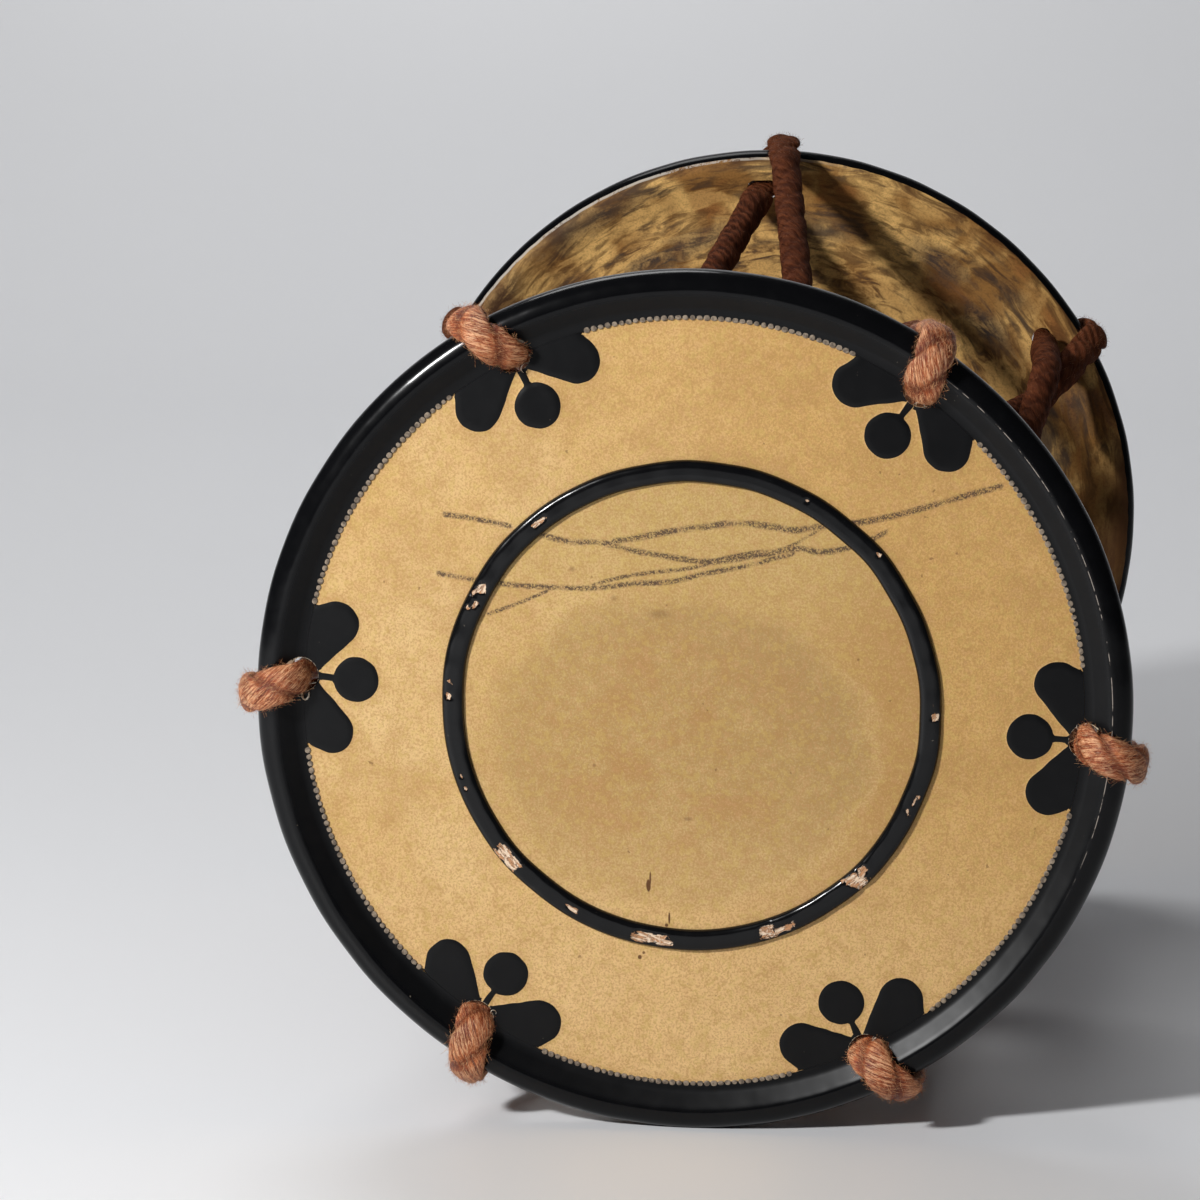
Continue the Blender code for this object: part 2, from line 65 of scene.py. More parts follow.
head = dict(
    rim=100.0, rod=2.4, gap=0.3, hide=0.8, coat=0.3,
    seam=89.0, seamHeight=1.0, bandFlat=90.6,
    holeCentre=89.9, holeRadius=4.1, holeOut=2.1,
    ringInner=52.0, ringOuter=57.0, ringHeight=1.35, relief=0.28,
    steps=600,
)
foldOuter = head["rod"] + head["gap"] + head["hide"]
tube = foldOuter + head["gap"] + head["coat"]       # radius of the lacquered roll
hoop = head["rim"] - tube                           # radius of the hoop's middle line

heads = {
    "front": dict(side=-1, holes=[34.8, 93.8, 153.1, 213.6, 273.4, 333.1], body="front_head", seed=3),
    "rear": dict(side=1, holes=[-1.6, 57.0, 117.0, 177.0, 237.0, 297.0], body="rear_head", seed=8),
}
motif = dict(
    tip=(12.6, 82.2), tipRadius=5.2, root=(6.5, 91.0), rootRadius=7.4,
    dot=77.0, dotRadius=5.25, stemTop=0.85, stemFoot=0.42,
)


def smoothStep(t):
    t = np.clip(t, 0, 1)
    return t * t * (3 - 2 * t)


def polar(radius, azimuth):
    a = np.radians(azimuth)
    return radius * np.sin(a), radius * np.cos(a)


# Smooth noise for shapes, the same each run

def waves(seed, count=7, low=1.0, high=9.0):
    rng = np.random.default_rng(seed)
    return rng.uniform(low, high, count), rng.uniform(0, 2 * math.pi, count), rng.uniform(0.4, 1.0, count)


def ringNoise(azimuth, seed, low=3, high=40, count=9):
    # A wobble that closes round a circle, about -1 to 1
    rng = np.random.default_rng(seed)
    whole = rng.integers(low, high, count)
    phase = rng.uniform(0, 2 * math.pi, count)
    a = np.radians(azimuth)
    return sum(np.sin(w * a + p) for w, p in zip(whole, phase)) / math.sqrt(count)


def planeNoise(x, y, seed, size):
    # A wobble over a plane, about -1 to 1, with waves about size millimetres long
    rng = np.random.default_rng(seed)
    total = 0
    for _ in range(10):
        turn = rng.uniform(0, 2 * math.pi)
        k = 2 * math.pi / (size * rng.uniform(0.6, 1.6))
        total = total + np.sin(k * (x * math.cos(turn) + y * math.sin(turn)) + rng.uniform(0, 2 * math.pi))
    return total / math.sqrt(10)


# Signed distance to the lacquer on a head's face, in millimetres, negative on the lacquer

def capsule(x, y, start, end, startRadius, endRadius):
    ax, ay = x - start[0], y - start[1]
    bx, by = end[0] - start[0], end[1] - start[1]
    h = bx * bx + by * by
    qx = np.abs(ax * by - ay * bx) / h
    qy = (ax * bx + ay * by) / h
    b = startRadius - endRadius
    c = math.sqrt(h - b * b)
    k = c * qy - b * qx
    n = qx * qx + qy * qy
    low = np.sqrt(h * n) - startRadius
    high = np.sqrt(np.maximum(h * (n + 1 - 2 * qy), 0)) - endRadius
    return np.where(k < 0, low, np.where(k > c, high, c * qx + b * qy - startRadius))


def lacquerDistance(x, y, holes, seed):
    radius = np.hypot(x, y)
    azimuth = np.degrees(np.arctan2(x, y))
    wobble = 0.07 * planeNoise(x, y, seed, 9) + 0.04 * planeNoise(x, y, seed + 1, 3)
    distance = head["seam"] + 0.05 * ringNoise(azimuth, seed, 20, 90) - radius
    for hole in holes:
        a = math.radians(hole)
        across = x * math.cos(a) - y * math.sin(a)
        along = x * math.sin(a) + y * math.cos(a)
        for mirror in (1, -1):
            petal = capsule(across * mirror, along, motif["tip"], motif["root"], motif["tipRadius"], motif["rootRadius"])
            distance = np.minimum(distance, petal)
        dot = np.hypot(across, along - motif["dot"]) - motif["dotRadius"]
        stemEnd = (0.0, head["holeCentre"] - head["holeRadius"] + 0.5)
        stem = capsule(across, along, (0.0, motif["dot"]), stemEnd, motif["stemFoot"], motif["stemTop"])
        distance = np.minimum(distance, np.minimum(dot, stem))
    return distance + wobble


def holeDistance(x, y, holes):
    distance = np.full_like(x, 99.0)
    for hole in holes:
        cx, cy = polar(head["holeCentre"], hole)
        distance = np.minimum(distance, np.hypot(x - cx, y - cy) - head["holeRadius"])
    return distance


def faceHeight(radius):
    # The hide: flat in the middle, a cone out to the seam
    t = (radius - head["ringOuter"]) / (head["seam"] - head["ringOuter"])
    return faceTop + (head["seamHeight"] - faceTop) * np.clip(t, 0, 1)


# Meshes

def meshFromArrays(name, points, faces):
    mesh = bpy.data.meshes.new(name)
    mesh.from_pydata([tuple(p) for p in points], [], faces)
    mesh.update()
    obj = bpy.data.objects.new(name, mesh)
    bpy.context.scene.collection.objects.link(obj)
    return obj


def latheFaces(rings, steps, closed, poleStart, poleEnd):
    # Rings of points first, then the poles
    faces = []
    pairs = [(i, i + 1) for i in range(rings - 1)]
    if closed:
        pairs.append((rings - 1, 0))
    for a, b in pairs:
        for i in range(steps):
            j = (i + 1) % steps
            faces.append((a * steps + i, a * steps + j, b * steps + j, b * steps + i))
    pole = rings * steps
    if poleStart:
        faces += [(pole, (i + 1) % steps, i) for i in range(steps)]
        pole += 1
    if poleEnd:
        last = (rings - 1) * steps
        faces += [(last + i, last + (i + 1) % steps, pole) for i in range(steps)]
    return faces


def recalcNormals(obj):
    bm = bmesh.new()
    bm.from_mesh(obj.data)
    bmesh.ops.recalc_face_normals(bm, faces=bm.faces)
    bm.to_mesh(obj.data)
    bm.free()


def headPoints(x, y, height, side):
    return np.stack([x, side * (headSpacing / 2 + height), y], axis=-1)


def applyModifiers(obj):
    bpy.context.view_layer.update()
    depsgraph = bpy.context.evaluated_depsgraph_get()
    mesh = bpy.data.meshes.new_from_object(obj.evaluated_get(depsgraph))
    obj.modifiers.clear()
    old = obj.data
    obj.data = mesh
    bpy.data.meshes.remove(old)


def holeOutline(turn):
    # A hole's outline from its centre, sideways and outwards: it narrows and ends towards the roll
    side, out = head["holeRadius"] * np.sin(turn), head["holeRadius"] * np.cos(turn)
    side = side * (1 - 0.10 * np.maximum(out, 0) ** 2 / 2)
    return side, np.minimum(out, head["holeOut"])


def cutHoles(obj, info):
    cutter = bpy.data.meshes.new("holeCutter")
    bm = bmesh.new()
    side, out = holeOutline(np.linspace(0, 2 * math.pi, 40, endpoint=False))
    for hole in info["holes"]:
        a = math.radians(hole)
        x, z = polar(head["holeCentre"], hole)
        x, z = x + out * math.sin(a) + side * math.cos(a), z + out * math.cos(a) - side * math.sin(a)
        y = info["side"] * headSpacing / 2
        ends = [[bm.verts.new((px, y + end, pz)) for px, pz in zip(x, z)] for end in (-10, 10)]
        bm.faces.new(ends[0])
        bm.faces.new(ends[1])
        for i in range(-1, len(x) - 1):
            bm.faces.new((ends[0][i], ends[0][i + 1], ends[1][i + 1], ends[1][i]))
    bmesh.ops.recalc_face_normals(bm, faces=bm.faces)
    bm.to_mesh(cutter)
    bm.free()
    cutObject = bpy.data.objects.new("holeCutter", cutter)
    bpy.context.scene.collection.objects.link(cutObject)
    mod = obj.modifiers.new("holes", "BOOLEAN")
    mod.operation = "DIFFERENCE"
    mod.solver = "EXACT"
    mod.object = cutObject
    applyModifiers(obj)
    bpy.data.objects.remove(cutObject, do_unlink=True)


def coordinates(obj):
    values = np.empty(len(obj.data.vertices) * 3)
    obj.data.vertices.foreach_get("co", values)
    return values.reshape(-1, 3)


def addFloat(obj, name, values):
    attribute = obj.data.attributes.new(name, "FLOAT", "POINT")
    attribute.data.foreach_set("value", np.ascontiguousarray(values, np.float32))


def addVector(obj, name, values):
    attribute = obj.data.attributes.new(name, "FLOAT_VECTOR", "POINT")
    attribute.data.foreach_set("vector", np.ascontiguousarray(values, np.float32).ravel())


def settle(obj, smoothAngle=40):
    # From drum millimetres to its place in the frame, with the patterns' coordinates kept
    addVector(obj, "drumPoint", coordinates(obj))
    obj.data.transform(place @ Matrix.Scale(mm, 4))
    obj.data.shade_smooth()
    if smoothAngle:
        obj.data.set_sharp_from_angle(angle=math.radians(smoothAngle))


# Shaders

class Sock:
    def __init__(self, shader, socket):
        self.shader = shader
        self.socket = socket

    def math(self, operation, *others):
        return self.shader.add("ShaderNodeMath", dict(operation=operation), [self, *others])

    def __add__(self, other): return self.math("ADD", other)
    def __radd__(self, other): return self.math("ADD", other)
    def __sub__(self, other): return self.math("SUBTRACT", other)
    def __rsub__(self, other): return self.shader.add("ShaderNodeMath", dict(operation="SUBTRACT"), [other, self])
    def __mul__(self, other): return self.math("MULTIPLY", other)
    def __rmul__(self, other): return self.math("MULTIPLY", other)
    def __truediv__(self, other): return self.math("DIVIDE", other)
    def abs(self): return self.math("ABSOLUTE")
    def power(self, other): return self.math("POWER", other)
    def lower(self, other): return self.math("MINIMUM", other)
    def higher(self, other): return self.math("MAXIMUM", other)

    def step(self, low, high):
        # 0 below low, 1 above high, smooth between them; falls where low is above high
        return self.shader.add("ShaderNodeMapRange", dict(interpolation_type="SMOOTHSTEP", clamp=True),
                               [self, low, high, 0.0, 1.0])


class Shader:
    def __init__(self, name):
        self.material = bpy.data.materials.new(name)
        self.material.use_nodes = True
        self.tree = self.material.node_tree
        self.bsdf = self.tree.nodes["Principled BSDF"]

    def add(self, kind, settings=None, values=None, output=0):
        node = self.tree.nodes.new(kind)
        for key, value in (settings or {}).items():
            if key == "stops":
                ramp = node.color_ramp
                while len(ramp.elements) < len(value):
                    ramp.elements.new(1.0)
                for element, (position, colour) in zip(ramp.elements, value):
                    element.position = position
                    element.color = (*colour, 1.0)
            elif key == "curve":
                points = node.mapping.curves[0].points
                while len(points) < len(value):
                    points.new(0.5, 0.5)
                for point, (x, y) in zip(points, value):
                    point.location = (x, y)
                node.mapping.update()
            else:
                setattr(node, key, value)
        pairs = values.items() if isinstance(values, dict) else enumerate(values or [])
        for key, value in pairs:
            if value is None:
                continue
            if isinstance(value, Sock):
                self.tree.links.new(value.socket, node.inputs[key])
            else:
                node.inputs[key].default_value = value
        return Sock(self, node.outputs[output])

    def attribute(self, name, output="Fac"):
        return self.add("ShaderNodeAttribute", dict(attribute_name=name), output=output)

    def split(self, vector):
        return [self.add("ShaderNodeSeparateXYZ", None, [vector], output=i) for i in range(3)]

    def noise(self, vector, size, detail=3.0, rough=0.55, warp=0.0):
        # Features about size millimetres across, 0 to 1
        return self.add("ShaderNodeTexNoise", None, {
            "Vector": vector, "Scale": 1 / size, "Detail": detail, "Roughness": rough, "Distortion": warp})

    def stretch(self, vector, scale, turn=(0, 0, 0)):
        return self.add("ShaderNodeMapping", None, {"Vector": vector, "Scale": scale, "Rotation": turn})

    def mix(self, factor, first, second, blend="MIX"):
        node = self.tree.nodes.new("ShaderNodeMix")
        node.data_type = "RGBA"
        node.blend_type = blend
        for key, value in ((0, factor), (6, first), (7, second)):
            if isinstance(value, Sock):
                self.tree.links.new(value.socket, node.inputs[key])
            elif key == 0:
                node.inputs[key].default_value = value
            else:
                node.inputs[key].default_value = (*value, 1.0)
        return Sock(self, node.outputs[2])

    def bump(self, height, distance, strength=1.0, normal=None):
        # Distance is in metres: how high a height of 1 stands
        return self.add("ShaderNodeBump", None, {
            "Height": height, "Distance": distance, "Strength": strength, "Normal": normal})

    def finish(self, **sockets):
        for name, value in sockets.items():
            socket = self.bsdf.inputs[name.replace("_", " ")]
            if isinstance(value, Sock):
                self.tree.links.new(value.socket, socket)
            elif isinstance(value, tuple):
                socket.default_value = (*value, 1.0)
            else:
                socket.default_value = value
        return self.material


hideLook = dict(
    # The last colour on the next line is painted shade for the face's right side
    tan=(0.625, 0.395, 0.152), pale=(0.710, 0.485, 0.225), brown=(0.430, 0.240, 0.080), paintedShadeRight=(0.590, 0.340, 0.108),
    middle=(0.520, 0.340, 0.128), smudge=(0.330, 0.210, 0.084), russet=(0.420, 0.210, 0.075),
    right=(0.420, 0.225, 0.070), green=(0.540, 0.378, 0.145), spot=(0.105, 0.038, 0.014), mark=(0.066, 0.040, 0.030),
    # low is painted light: a paler colour for the lower part of the face
    raw=(0.760, 0.640, 0.470), low=(0.820, 0.545, 0.255), yellow=(0.600, 0.430, 0.130), rosy=(0.560, 0.300, 0.140),
)
lacquerLook = dict(black=(0.0028, 0.0029, 0.0034), grey=(0.0055, 0.0055, 0.0060), dust=(0.20, 0.17, 0.13),
                   # The next colour paints a highlight line along the rim's crest
                   crestHighlight=(0.42, 0.36, 0.31))
innerLook = dict(gold=(0.310, 0.150, 0.042), light=(0.800, 0.485, 0.165), brown=(0.085, 0.036, 0.013),
                 slate=(0.036, 0.032, 0.032), rust=(0.300, 0.112, 0.032), fold=(0.560, 0.510, 0.440))
# Smudges and brighter places on a head's inner side: place, half length round the head, half width, strength
innerSmudges = [(-46, 82, 12, 3.0, 0.85), (-56, 77, 10, 3.2, 0.75), (-29, 70, 11, 2.6, 0.9), (-74, 58, 8, 3.0, 0.85),
                (-20, 75, 8, 3.0, 0.7), (15, 78, 7, 2.6, 0.7), (46, 70, 9, 3.5, 0.85), (60, 51, 8, 4.0, 0.9),
                (84, 32, 7, 4.5, 0.7), (66, 62, 6, 2.0, 0.5)]
innerGlints = [(-39, 69, 10, 2.5, 0.8), (-28, 84, 12, 2.2, 0.6), (2, 68, 16, 6.0, 0.75), (35, 58, 12, 5.0, 0.6),
               (63, 38, 9, 5.0, 0.6), (75, 48, 6, 3.0, 0.5), (-60, 62, 9, 2.5, 0.5)]

# Charcoal-like scuffs across the struck head, each from left to right, in millimetres
scuffs = [
    dict(width=0.50, dark=0.80, line=[(-57.4, 43.5), (-51.5, 42.9), (-40.0, 40.9)]),
    dict(width=0.55, dark=0.85, line=[(-36.0, 40.0), (-27.8, 37.9), (-20.8, 37.8), (-13.8, 36.2), (-5.8, 34.9), (3.3, 33.9),
                           (9.3, 34.4), (17.2, 35.9), (24.2, 37.3), (29.2, 36.6), (35.7, 37.8), (45.1, 42.0)]),
    dict(width=0.60, dark=0.85, line=[(-18.8, 37.8), (-12.8, 38.9), (-4.9, 40.6), (3.1, 41.9), (11.1, 42.8), (18.1, 42.2),
                           (23.1, 41.5), (29.1, 42.4), (40.1, 43.9), (49.0, 46.1), (59.0, 49.1), (70.7, 52.5)]),
    dict(width=0.40, dark=0.60, line=[(4.3, 33.9), (13.2, 36.0), (21.2, 37.3), (27.1, 40.6), (30.1, 42.7)]),
    dict(width=0.50, dark=0.80, line=[(-58.7, 30.0), (-51.6, 28.9), (-44.1, 27.9), (-37.6, 27.4), (-30.6, 27.2), (-20.6, 27.4),
                           (-12.6, 28.5), (-4.6, 29.1), (3.3, 31.1), (13.3, 33.3), (24.2, 36.5)]),
    dict(width=0.40, dark=0.60, line=[(-23.6, 27.5), (-15.6, 29.9), (-6.7, 31.4), (-0.7, 32.2), (5.3, 33.9)]),
    dict(width=0.36, dark=0.85, line=[(-47.2, 20.4), (-40.5, 22.9), (-31.6, 26.9)]),
]
# Small brown drops and spots: place, half width and half height
drops = [(-9.5, -42.0, 0.45, 1.3, 0.95), (-9.1, -40.2, 0.2, 1.5, 0.9), (-4.7, -49.6, 0.22, 1.3, 0.95),
         (-5.3, -51.2, 0.4, 0.4, 0.9), (-11.5, -59.0, 0.45, 0.5, 0.9), (-10.6, -57.9, 0.3, 0.35, 0.8),
         (-27.0, 31.5, 0.8, 0.7, 0.35), (-17.5, 25.0, 0.9, 0.8, 0.30), (-7.0, 21.5, 2.6, 1.2, 0.30),
         (-0.5, -26.0, 1.0, 0.5, 0.40), (-22.0, -14.0, 0.4, 0.4, 0.45), (38.0, 12.0, 0.35, 0.35, 0.5)]


def scuffMask(shader, x, y):
    # Each scuff is a height for every x, read from a curve, with a grainy edge
    low, span = -80.0, 160.0
    point = shader.attribute("drumPoint", "Vector")
    grain = shader.noise(point, 0.36, 2.0, 0.7)
    press = shader.noise(point, 4.5, 3.0, 0.6).step(0.30, 0.60) * 0.50 + 0.50
    total = None
    for scuff in scuffs:
        line = scuff["line"]
        position = (x - low) / span
        curve = shader.add("ShaderNodeFloatCurve", dict(curve=[((px - low) / span, (py - low) / span) for px, py in line]),
                           [1.0, position])
        away = (y - (curve * span + low)).abs()
        ends = x.step(line[0][0], line[0][0] + 1.5) * x.step(line[-1][0], line[-1][0] - 1.5)
        mark = away.step(scuff["width"] * 2.3, 0.0) * ends * (scuff["dark"] * 0.6 + 0.4)
        total = mark if total is None else total.higher(mark)
    cover = total * press
    return cover.step(0.04, 0.66) * ((grain + cover * 0.06).step(0.44, 0.60) * 0.80 + 0.20) * 0.90


def dropMask(shader, x, y, ragged):
    total = None
    for px, py, width, height, dark in drops:
        away = (((x - px) / width).power(2) + ((y - py) / height).power(2)).power(0.5) + ragged * 0.9
        mark = away.step(1.75, 1.35 - (0.95 - dark)) * dark
        total = mark if total is None else total.higher(mark)
    return total


def outerHide(shader, point, x, y, radius, edge, marks):
    cloud = shader.noise(point, 30, 3, 0.5, 0.4)
    blotch = shader.noise(point, 13, 3, 0.5, 0.4)
    mottle = shader.noise(point, 3.0, 4, 0.65, 0.3)
    grain = shader.noise(point, 0.50, 2, 0.65)
    hide = shader.mix(cloud.step(0.32, 0.68), hideLook["tan"], hideLook["pale"])
    # Painted shade: the face grows darker towards its right, where the light falls off
    hide = shader.mix((x * 0.9 + y * 0.4 + cloud * 50).step(-5.0, 90.0) * 0.9, hide, hideLook["paintedShadeRight"])
    hide = shader.mix(blotch.step(0.42, 0.70) * 0.40, hide, hideLook["brown"])
    # Painted light: the lower part of the face is paler, standing in for more light falling there
    hide = shader.mix(y.step(-15.0, -75.0) * 0.60, hide, hideLook["low"])
    # Handling has darkened the middle, least of all at its lower left
    away = ((x + 2.5).power(2) + ((y + 10) * 1.22).power(2)).power(0.5) + (blotch - 0.5) * 14
    inRing = radius.step(54.5, 51.0)
    outside = away.step(41.0, 47.0)
    crescent = outside * (x + y * 0.6).step(18.0, -18.0)
    patchy = mottle * 0.5 + blotch * 0.5
    hide = shader.mix(inRing * (crescent * -0.65 + 0.85), hide, hideLook["middle"])
    darker = (x * 0.8 + y * 0.5).step(-30.0, 35.0) * 0.36 + 0.46
    hide = shader.mix(inRing * away.step(47.0, 38.0) * (patchy.step(0.32, 0.62) * 0.3 + 0.64) * darker, hide, hideLook["smudge"])
    hide = shader.mix(inRing * away.step(43.0, 24.0) * blotch.step(0.44, 0.60) * 0.55, hide, hideLook["russet"])
    hide = shader.mix(inRing * away.step(43.0, 24.0) * patchy.step(0.50, 0.30) * 0.20, hide, hideLook["tan"])
    hide = shader.mix(inRing * outside * (x * 0.9 - y * 0.25).step(12.0, 42.0) * 0.75, hide, hideLook["right"])
    hide = shader.mix(inRing * y.step(18.0, 36.0) * 0.45, hide, hideLook["green"])
    arcLine = (away - 43.5).abs().step(1.5, 0.3) * (x - y * 0.5).step(14.0, 38.0) * mottle.step(0.35, 0.55)
    hide = shader.mix(inRing * arcLine * 0.32, hide, hideLook["pale"])
    # Painted light inside the ring too: paler towards the bottom
    hide = shader.mix(inRing * y.step(-12.0, -50.0) * 0.30, hide, hideLook["low"])
    nearRing = (radius - 54.5).abs().step(7.0, 1.0)
    hide = shader.mix(nearRing * blotch.step(0.4, 0.7) * 0.34, hide, hideLook["brown"])
    hide = shader.mix(edge.step(3.2, 0.2) * 0.25, hide, hideLook["brown"])
    hide = shader.mix(edge.step(0.35, 0.10) * 0.35, hide, hideLook["pale"])
    hide = shader.mix(mottle.step(0.44, 0.68) * 0.38, hide, hideLook["brown"])
    hide = shader.mix(mottle.step(0.52, 0.30) * 0.14, hide, hideLook["pale"])
    hide = shader.mix(grain.step(0.42, 0.64) * 0.60, hide, hideLook["brown"])
    hide = shader.mix(grain.step(0.50, 0.30) * 0.26, hide, hideLook["pale"])
    hue = shader.noise(point, 1.5, 3, 0.6)
    hide = shader.mix(hue.step(0.50, 0.64) * 0.30, hide, hideLook["yellow"])
    hide = shader.mix(hue.step(0.48, 0.34) * 0.24, hide, hideLook["rosy"])
    # Short hairs' traces, lying in three directions
    for number, turn in enumerate((0.35, 1.25, 2.3)):
        moved = shader.stretch(point, (1.0, 1.0, 0.16), (0.0, turn, 0.0))
        hair = shader.noise(moved, 0.42 + number * 0.05, 1, 0.4).step(0.71, 0.78)
        hide = shader.mix(hair * 0.38, hide, hideLook["brown"])
    speck = shader.noise(point, 2.2, 2, 0.5).step(0.74, 0.78)
    hide = shader.mix(speck * 0.5, hide, hideLook["spot"])
    if marks:
        hide = shader.mix(dropMask(shader, x, y, mottle), hide, hideLook["spot"])
        hide = shader.mix(scuffMask(shader, x, y), hide, hideLook["mark"])
    return hide, 0.50 + grain * 0.16, grain * 0.5 + mottle * 0.5


def smudgeMask(shader, x, y, places, ragged):
    # Patches drawn out round the head, with ragged edges
    total = None
    for px, py, length, width, strength in places:
        size = math.hypot(px, py)
        along = ((x - px) * (py / size) - (y - py) * (px / size)) / length
        across = ((x - px) * (px / size) + (y - py) * (py / size)) / width
        mark = ((along * along + across * across).power(0.5) + ragged).step(1.35, 0.45) * strength
        total = mark if total is None else total.higher(mark)
    return total


def innerHide(shader, point, x, y, radius, edge):
    # Smudges and scraper marks run round the head
    around = x.math("ARCTAN2", y) * 80
    lying = shader.add("ShaderNodeCombineXYZ", None, [around * 0.30, radius, 0.0])
    wide = shader.noise(lying, 10.0, 4, 0.6, 0.7)
    streaks = shader.noise(lying, 2.8, 4, 0.62, 0.9)
    cloud = shader.noise(point, 14, 3, 0.5, 0.5)
    pores = shader.noise(point, 0.60, 2, 0.65)
    hide = shader.mix(cloud.step(0.40, 0.66), innerLook["gold"], innerLook["light"])
    hide = shader.mix((cloud * 0.3 + wide * 0.7).step(0.46, 0.36) * 0.60, hide, innerLook["rust"])
    hide = shader.mix(streaks.step(0.42, 0.64) * 0.66, hide, innerLook["brown"])
    hide = shader.mix((wide * 0.7 + streaks * 0.3).step(0.50, 0.64) * 0.70, hide, innerLook["slate"])
    ragged = (streaks - 0.5) * 5.0 + (wide - 0.5) * 3.0
    hide = shader.mix(smudgeMask(shader, x, y, innerGlints, ragged) * 0.8, hide, innerLook["light"])
    torn = (pores * 0.2 + streaks * 0.8).step(0.38, 0.58) * 0.5 + 0.5
    hide = shader.mix(smudgeMask(shader, x, y, innerSmudges, ragged) * torn, hide, innerLook["slate"])
    hide = shader.mix(pores.step(0.44, 0.66) * 0.26, hide, innerLook["brown"])
    hide = shader.mix(edge.step(3.0, 0.6) * streaks.step(0.36, 0.58) * 0.6, hide, innerLook["brown"])
    hide = shader.mix((x * -1.0 + y * 0.1).step(50.0, 82.0) * streaks.step(0.34, 0.56) * 0.6, hide, innerLook["brown"])
    # Painted shadow: the inner side's far right is darkened where the struck head's shadow falls
    hide = shader.mix((x - y * 0.35).step(82.0, 97.0) * 0.92, hide, innerLook["brown"])
    line = edge.step(0.90, 0.56) * (cloud + pores).step(0.70, 0.95) * x.step(30.0, -20.0)
    hide = shader.mix(line * 0.8, hide, innerLook["fold"])
    return hide, 0.50 + streaks * 0.20, pores * 0.5 + streaks * 0.5


teeth = 349                                         # stitches round the seam


def headMaterial(name, info, outer, marks):
    shader = Shader(name)
    point = shader.attribute("drumPoint", "Vector")
    x, along, y = shader.split(point)
    radius = (x * x + y * y).power(0.5)
    azimuth = x.math("ARCTAN2", y)
    edge = shader.attribute("lacquerEdge")
    hole = shader.attribute("holeEdge")
    if outer:
        # The seam's thread pulls the lacquer's edge into teeth
        tooth = (azimuth * teeth).math("COSINE") * radius.step(88.1, 88.6) * radius.step(89.9, 89.5)
        edge = edge + tooth * 0.10
    lacquer = edge.step(0.05, -0.05)
    if outer:
        hide, hideRough, weave = outerHide(shader, point, x, y, radius, edge, marks)
    else:
        hide, hideRough, weave = innerHide(shader, point, x, y, radius, edge)

    # The hide's raw edge shows in places round a cord hole
    torn = shader.noise(point, 1.3, 3, 0.6)
    rawEdge = (hole + torn * 0.5).step(0.38, 0.26) * torn.step(0.46, 0.54)
    scratch = shader.noise(shader.stretch(point, (0.25, 1, 1), (0.4, 0.9, 0.3)), 1.1, 3, 0.5).step(0.72, 0.80)
    brush = shader.noise(point, 5, 3, 0.6)
    black = shader.mix(brush.step(0.40, 0.85) * 0.6, lacquerLook["black"], lacquerLook["grey"])
    dust = shader.noise(point, 1.5, 2, 0.5).step(0.775, 0.81)
    black = shader.mix(dust * 0.6, black, lacquerLook["dust"])
    if outer:
        # A painted highlight: a thin broken pale line along the rim's crest at the right
        crest = (radius - 95.35).abs().step(0.12, 0.04) * azimuth.step(0.55, 0.75) * azimuth.step(2.05, 1.8)
        broken = shader.noise(point, 3.0, 3, 0.6).step(0.45, 0.56)
        black = shader.mix(crest * broken * 0.8, black, lacquerLook["crestHighlight"])
    colour = shader.mix(lacquer, hide, black)
    if outer:
        colour = shader.mix(rawEdge, colour, hideLook["raw"])

    onTube = radius.step(93.6, 95.4)
    lacquerRough = 0.36 - onTube * 0.23 + brush * 0.08 + scratch * 0.14
    rough = hideRough * (1 - lacquer) + lacquerRough * lacquer
    normal = shader.bump(weave * (1 - lacquer) + lacquer * 0.5, 0.00012)
    lumps = shader.noise(point, 11, 2, 0.5)
    normal = shader.bump(lumps * lacquer, 0.00040, 0.5, normal)
    return shader.finish(Base_Color=colour, Roughness=rough, Normal=normal, Specular_IOR_Level=0.20 if outer else 0.10)


def plainLacquer(name, chips=None):
    shader = Shader(name)
    point = shader.attribute("drumPoint", "Vector")
    brush = shader.noise(point, 4, 3, 0.6)
    dust = shader.noise(point, 1.3, 2, 0.5).step(0.76, 0.80)
    colour = shader.mix(brush.step(0.35, 0.8) * 0.5, lacquerLook["black"], lacquerLook["grey"])
    colour = shader.mix(dust * 0.5, colour, lacquerLook["dust"])
    rough = 0.13 + brush * 0.10
    height = brush
    if chips:
        # Flakes break off along splinters, with dark cracks along them
        cell = shader.add("ShaderNodeTexVoronoi", None, {"Vector": point, "Scale": 1.1}, output=1)
        fleck = shader.noise(point, 0.8, 3, 0.7)
        splinter = shader.noise(shader.stretch(shader.attribute("flake", "Vector"), (0.22, 1, 1)), 0.55, 3, 0.65)
        value = shader.attribute("chip") + (shader.split(cell)[0] - 0.5) * 0.18 + (splinter - 0.5) * 0.38
        bare = value.step(0.500, 0.516)
        ground = shader.mix(splinter.step(0.42, 0.58), (0.80, 0.62, 0.45), (0.50, 0.25, 0.12))
        ground = shader.mix(fleck.step(0.44, 0.34) * 0.7, ground, (0.86, 0.76, 0.62))
        split = (splinter - 0.53).abs().step(0.026, 0.010)
        ground = shader.mix(split * 0.9, ground, (0.060, 0.030, 0.018))
        ground = shader.mix(value.step(0.560, 0.520) * 0.45, ground, (0.10, 0.055, 0.035))
        colour = shader.mix(bare, colour, ground)
        rough = rough * (1 - bare) + bare * 0.8
        height = height * 0.15 - bare
    return shader.finish(Base_Color=colour, Roughness=rough, Normal=shader.bump(height, 0.00022),
                         Specular_IOR_Level=0.30)


# Heads

def rimAngle(x, y, height):
    # Degrees round the hoop: 0 away from the drum's axis, 90 out of the head
    return np.degrees(np.arctan2(height, np.hypot(x, y) - hoop))


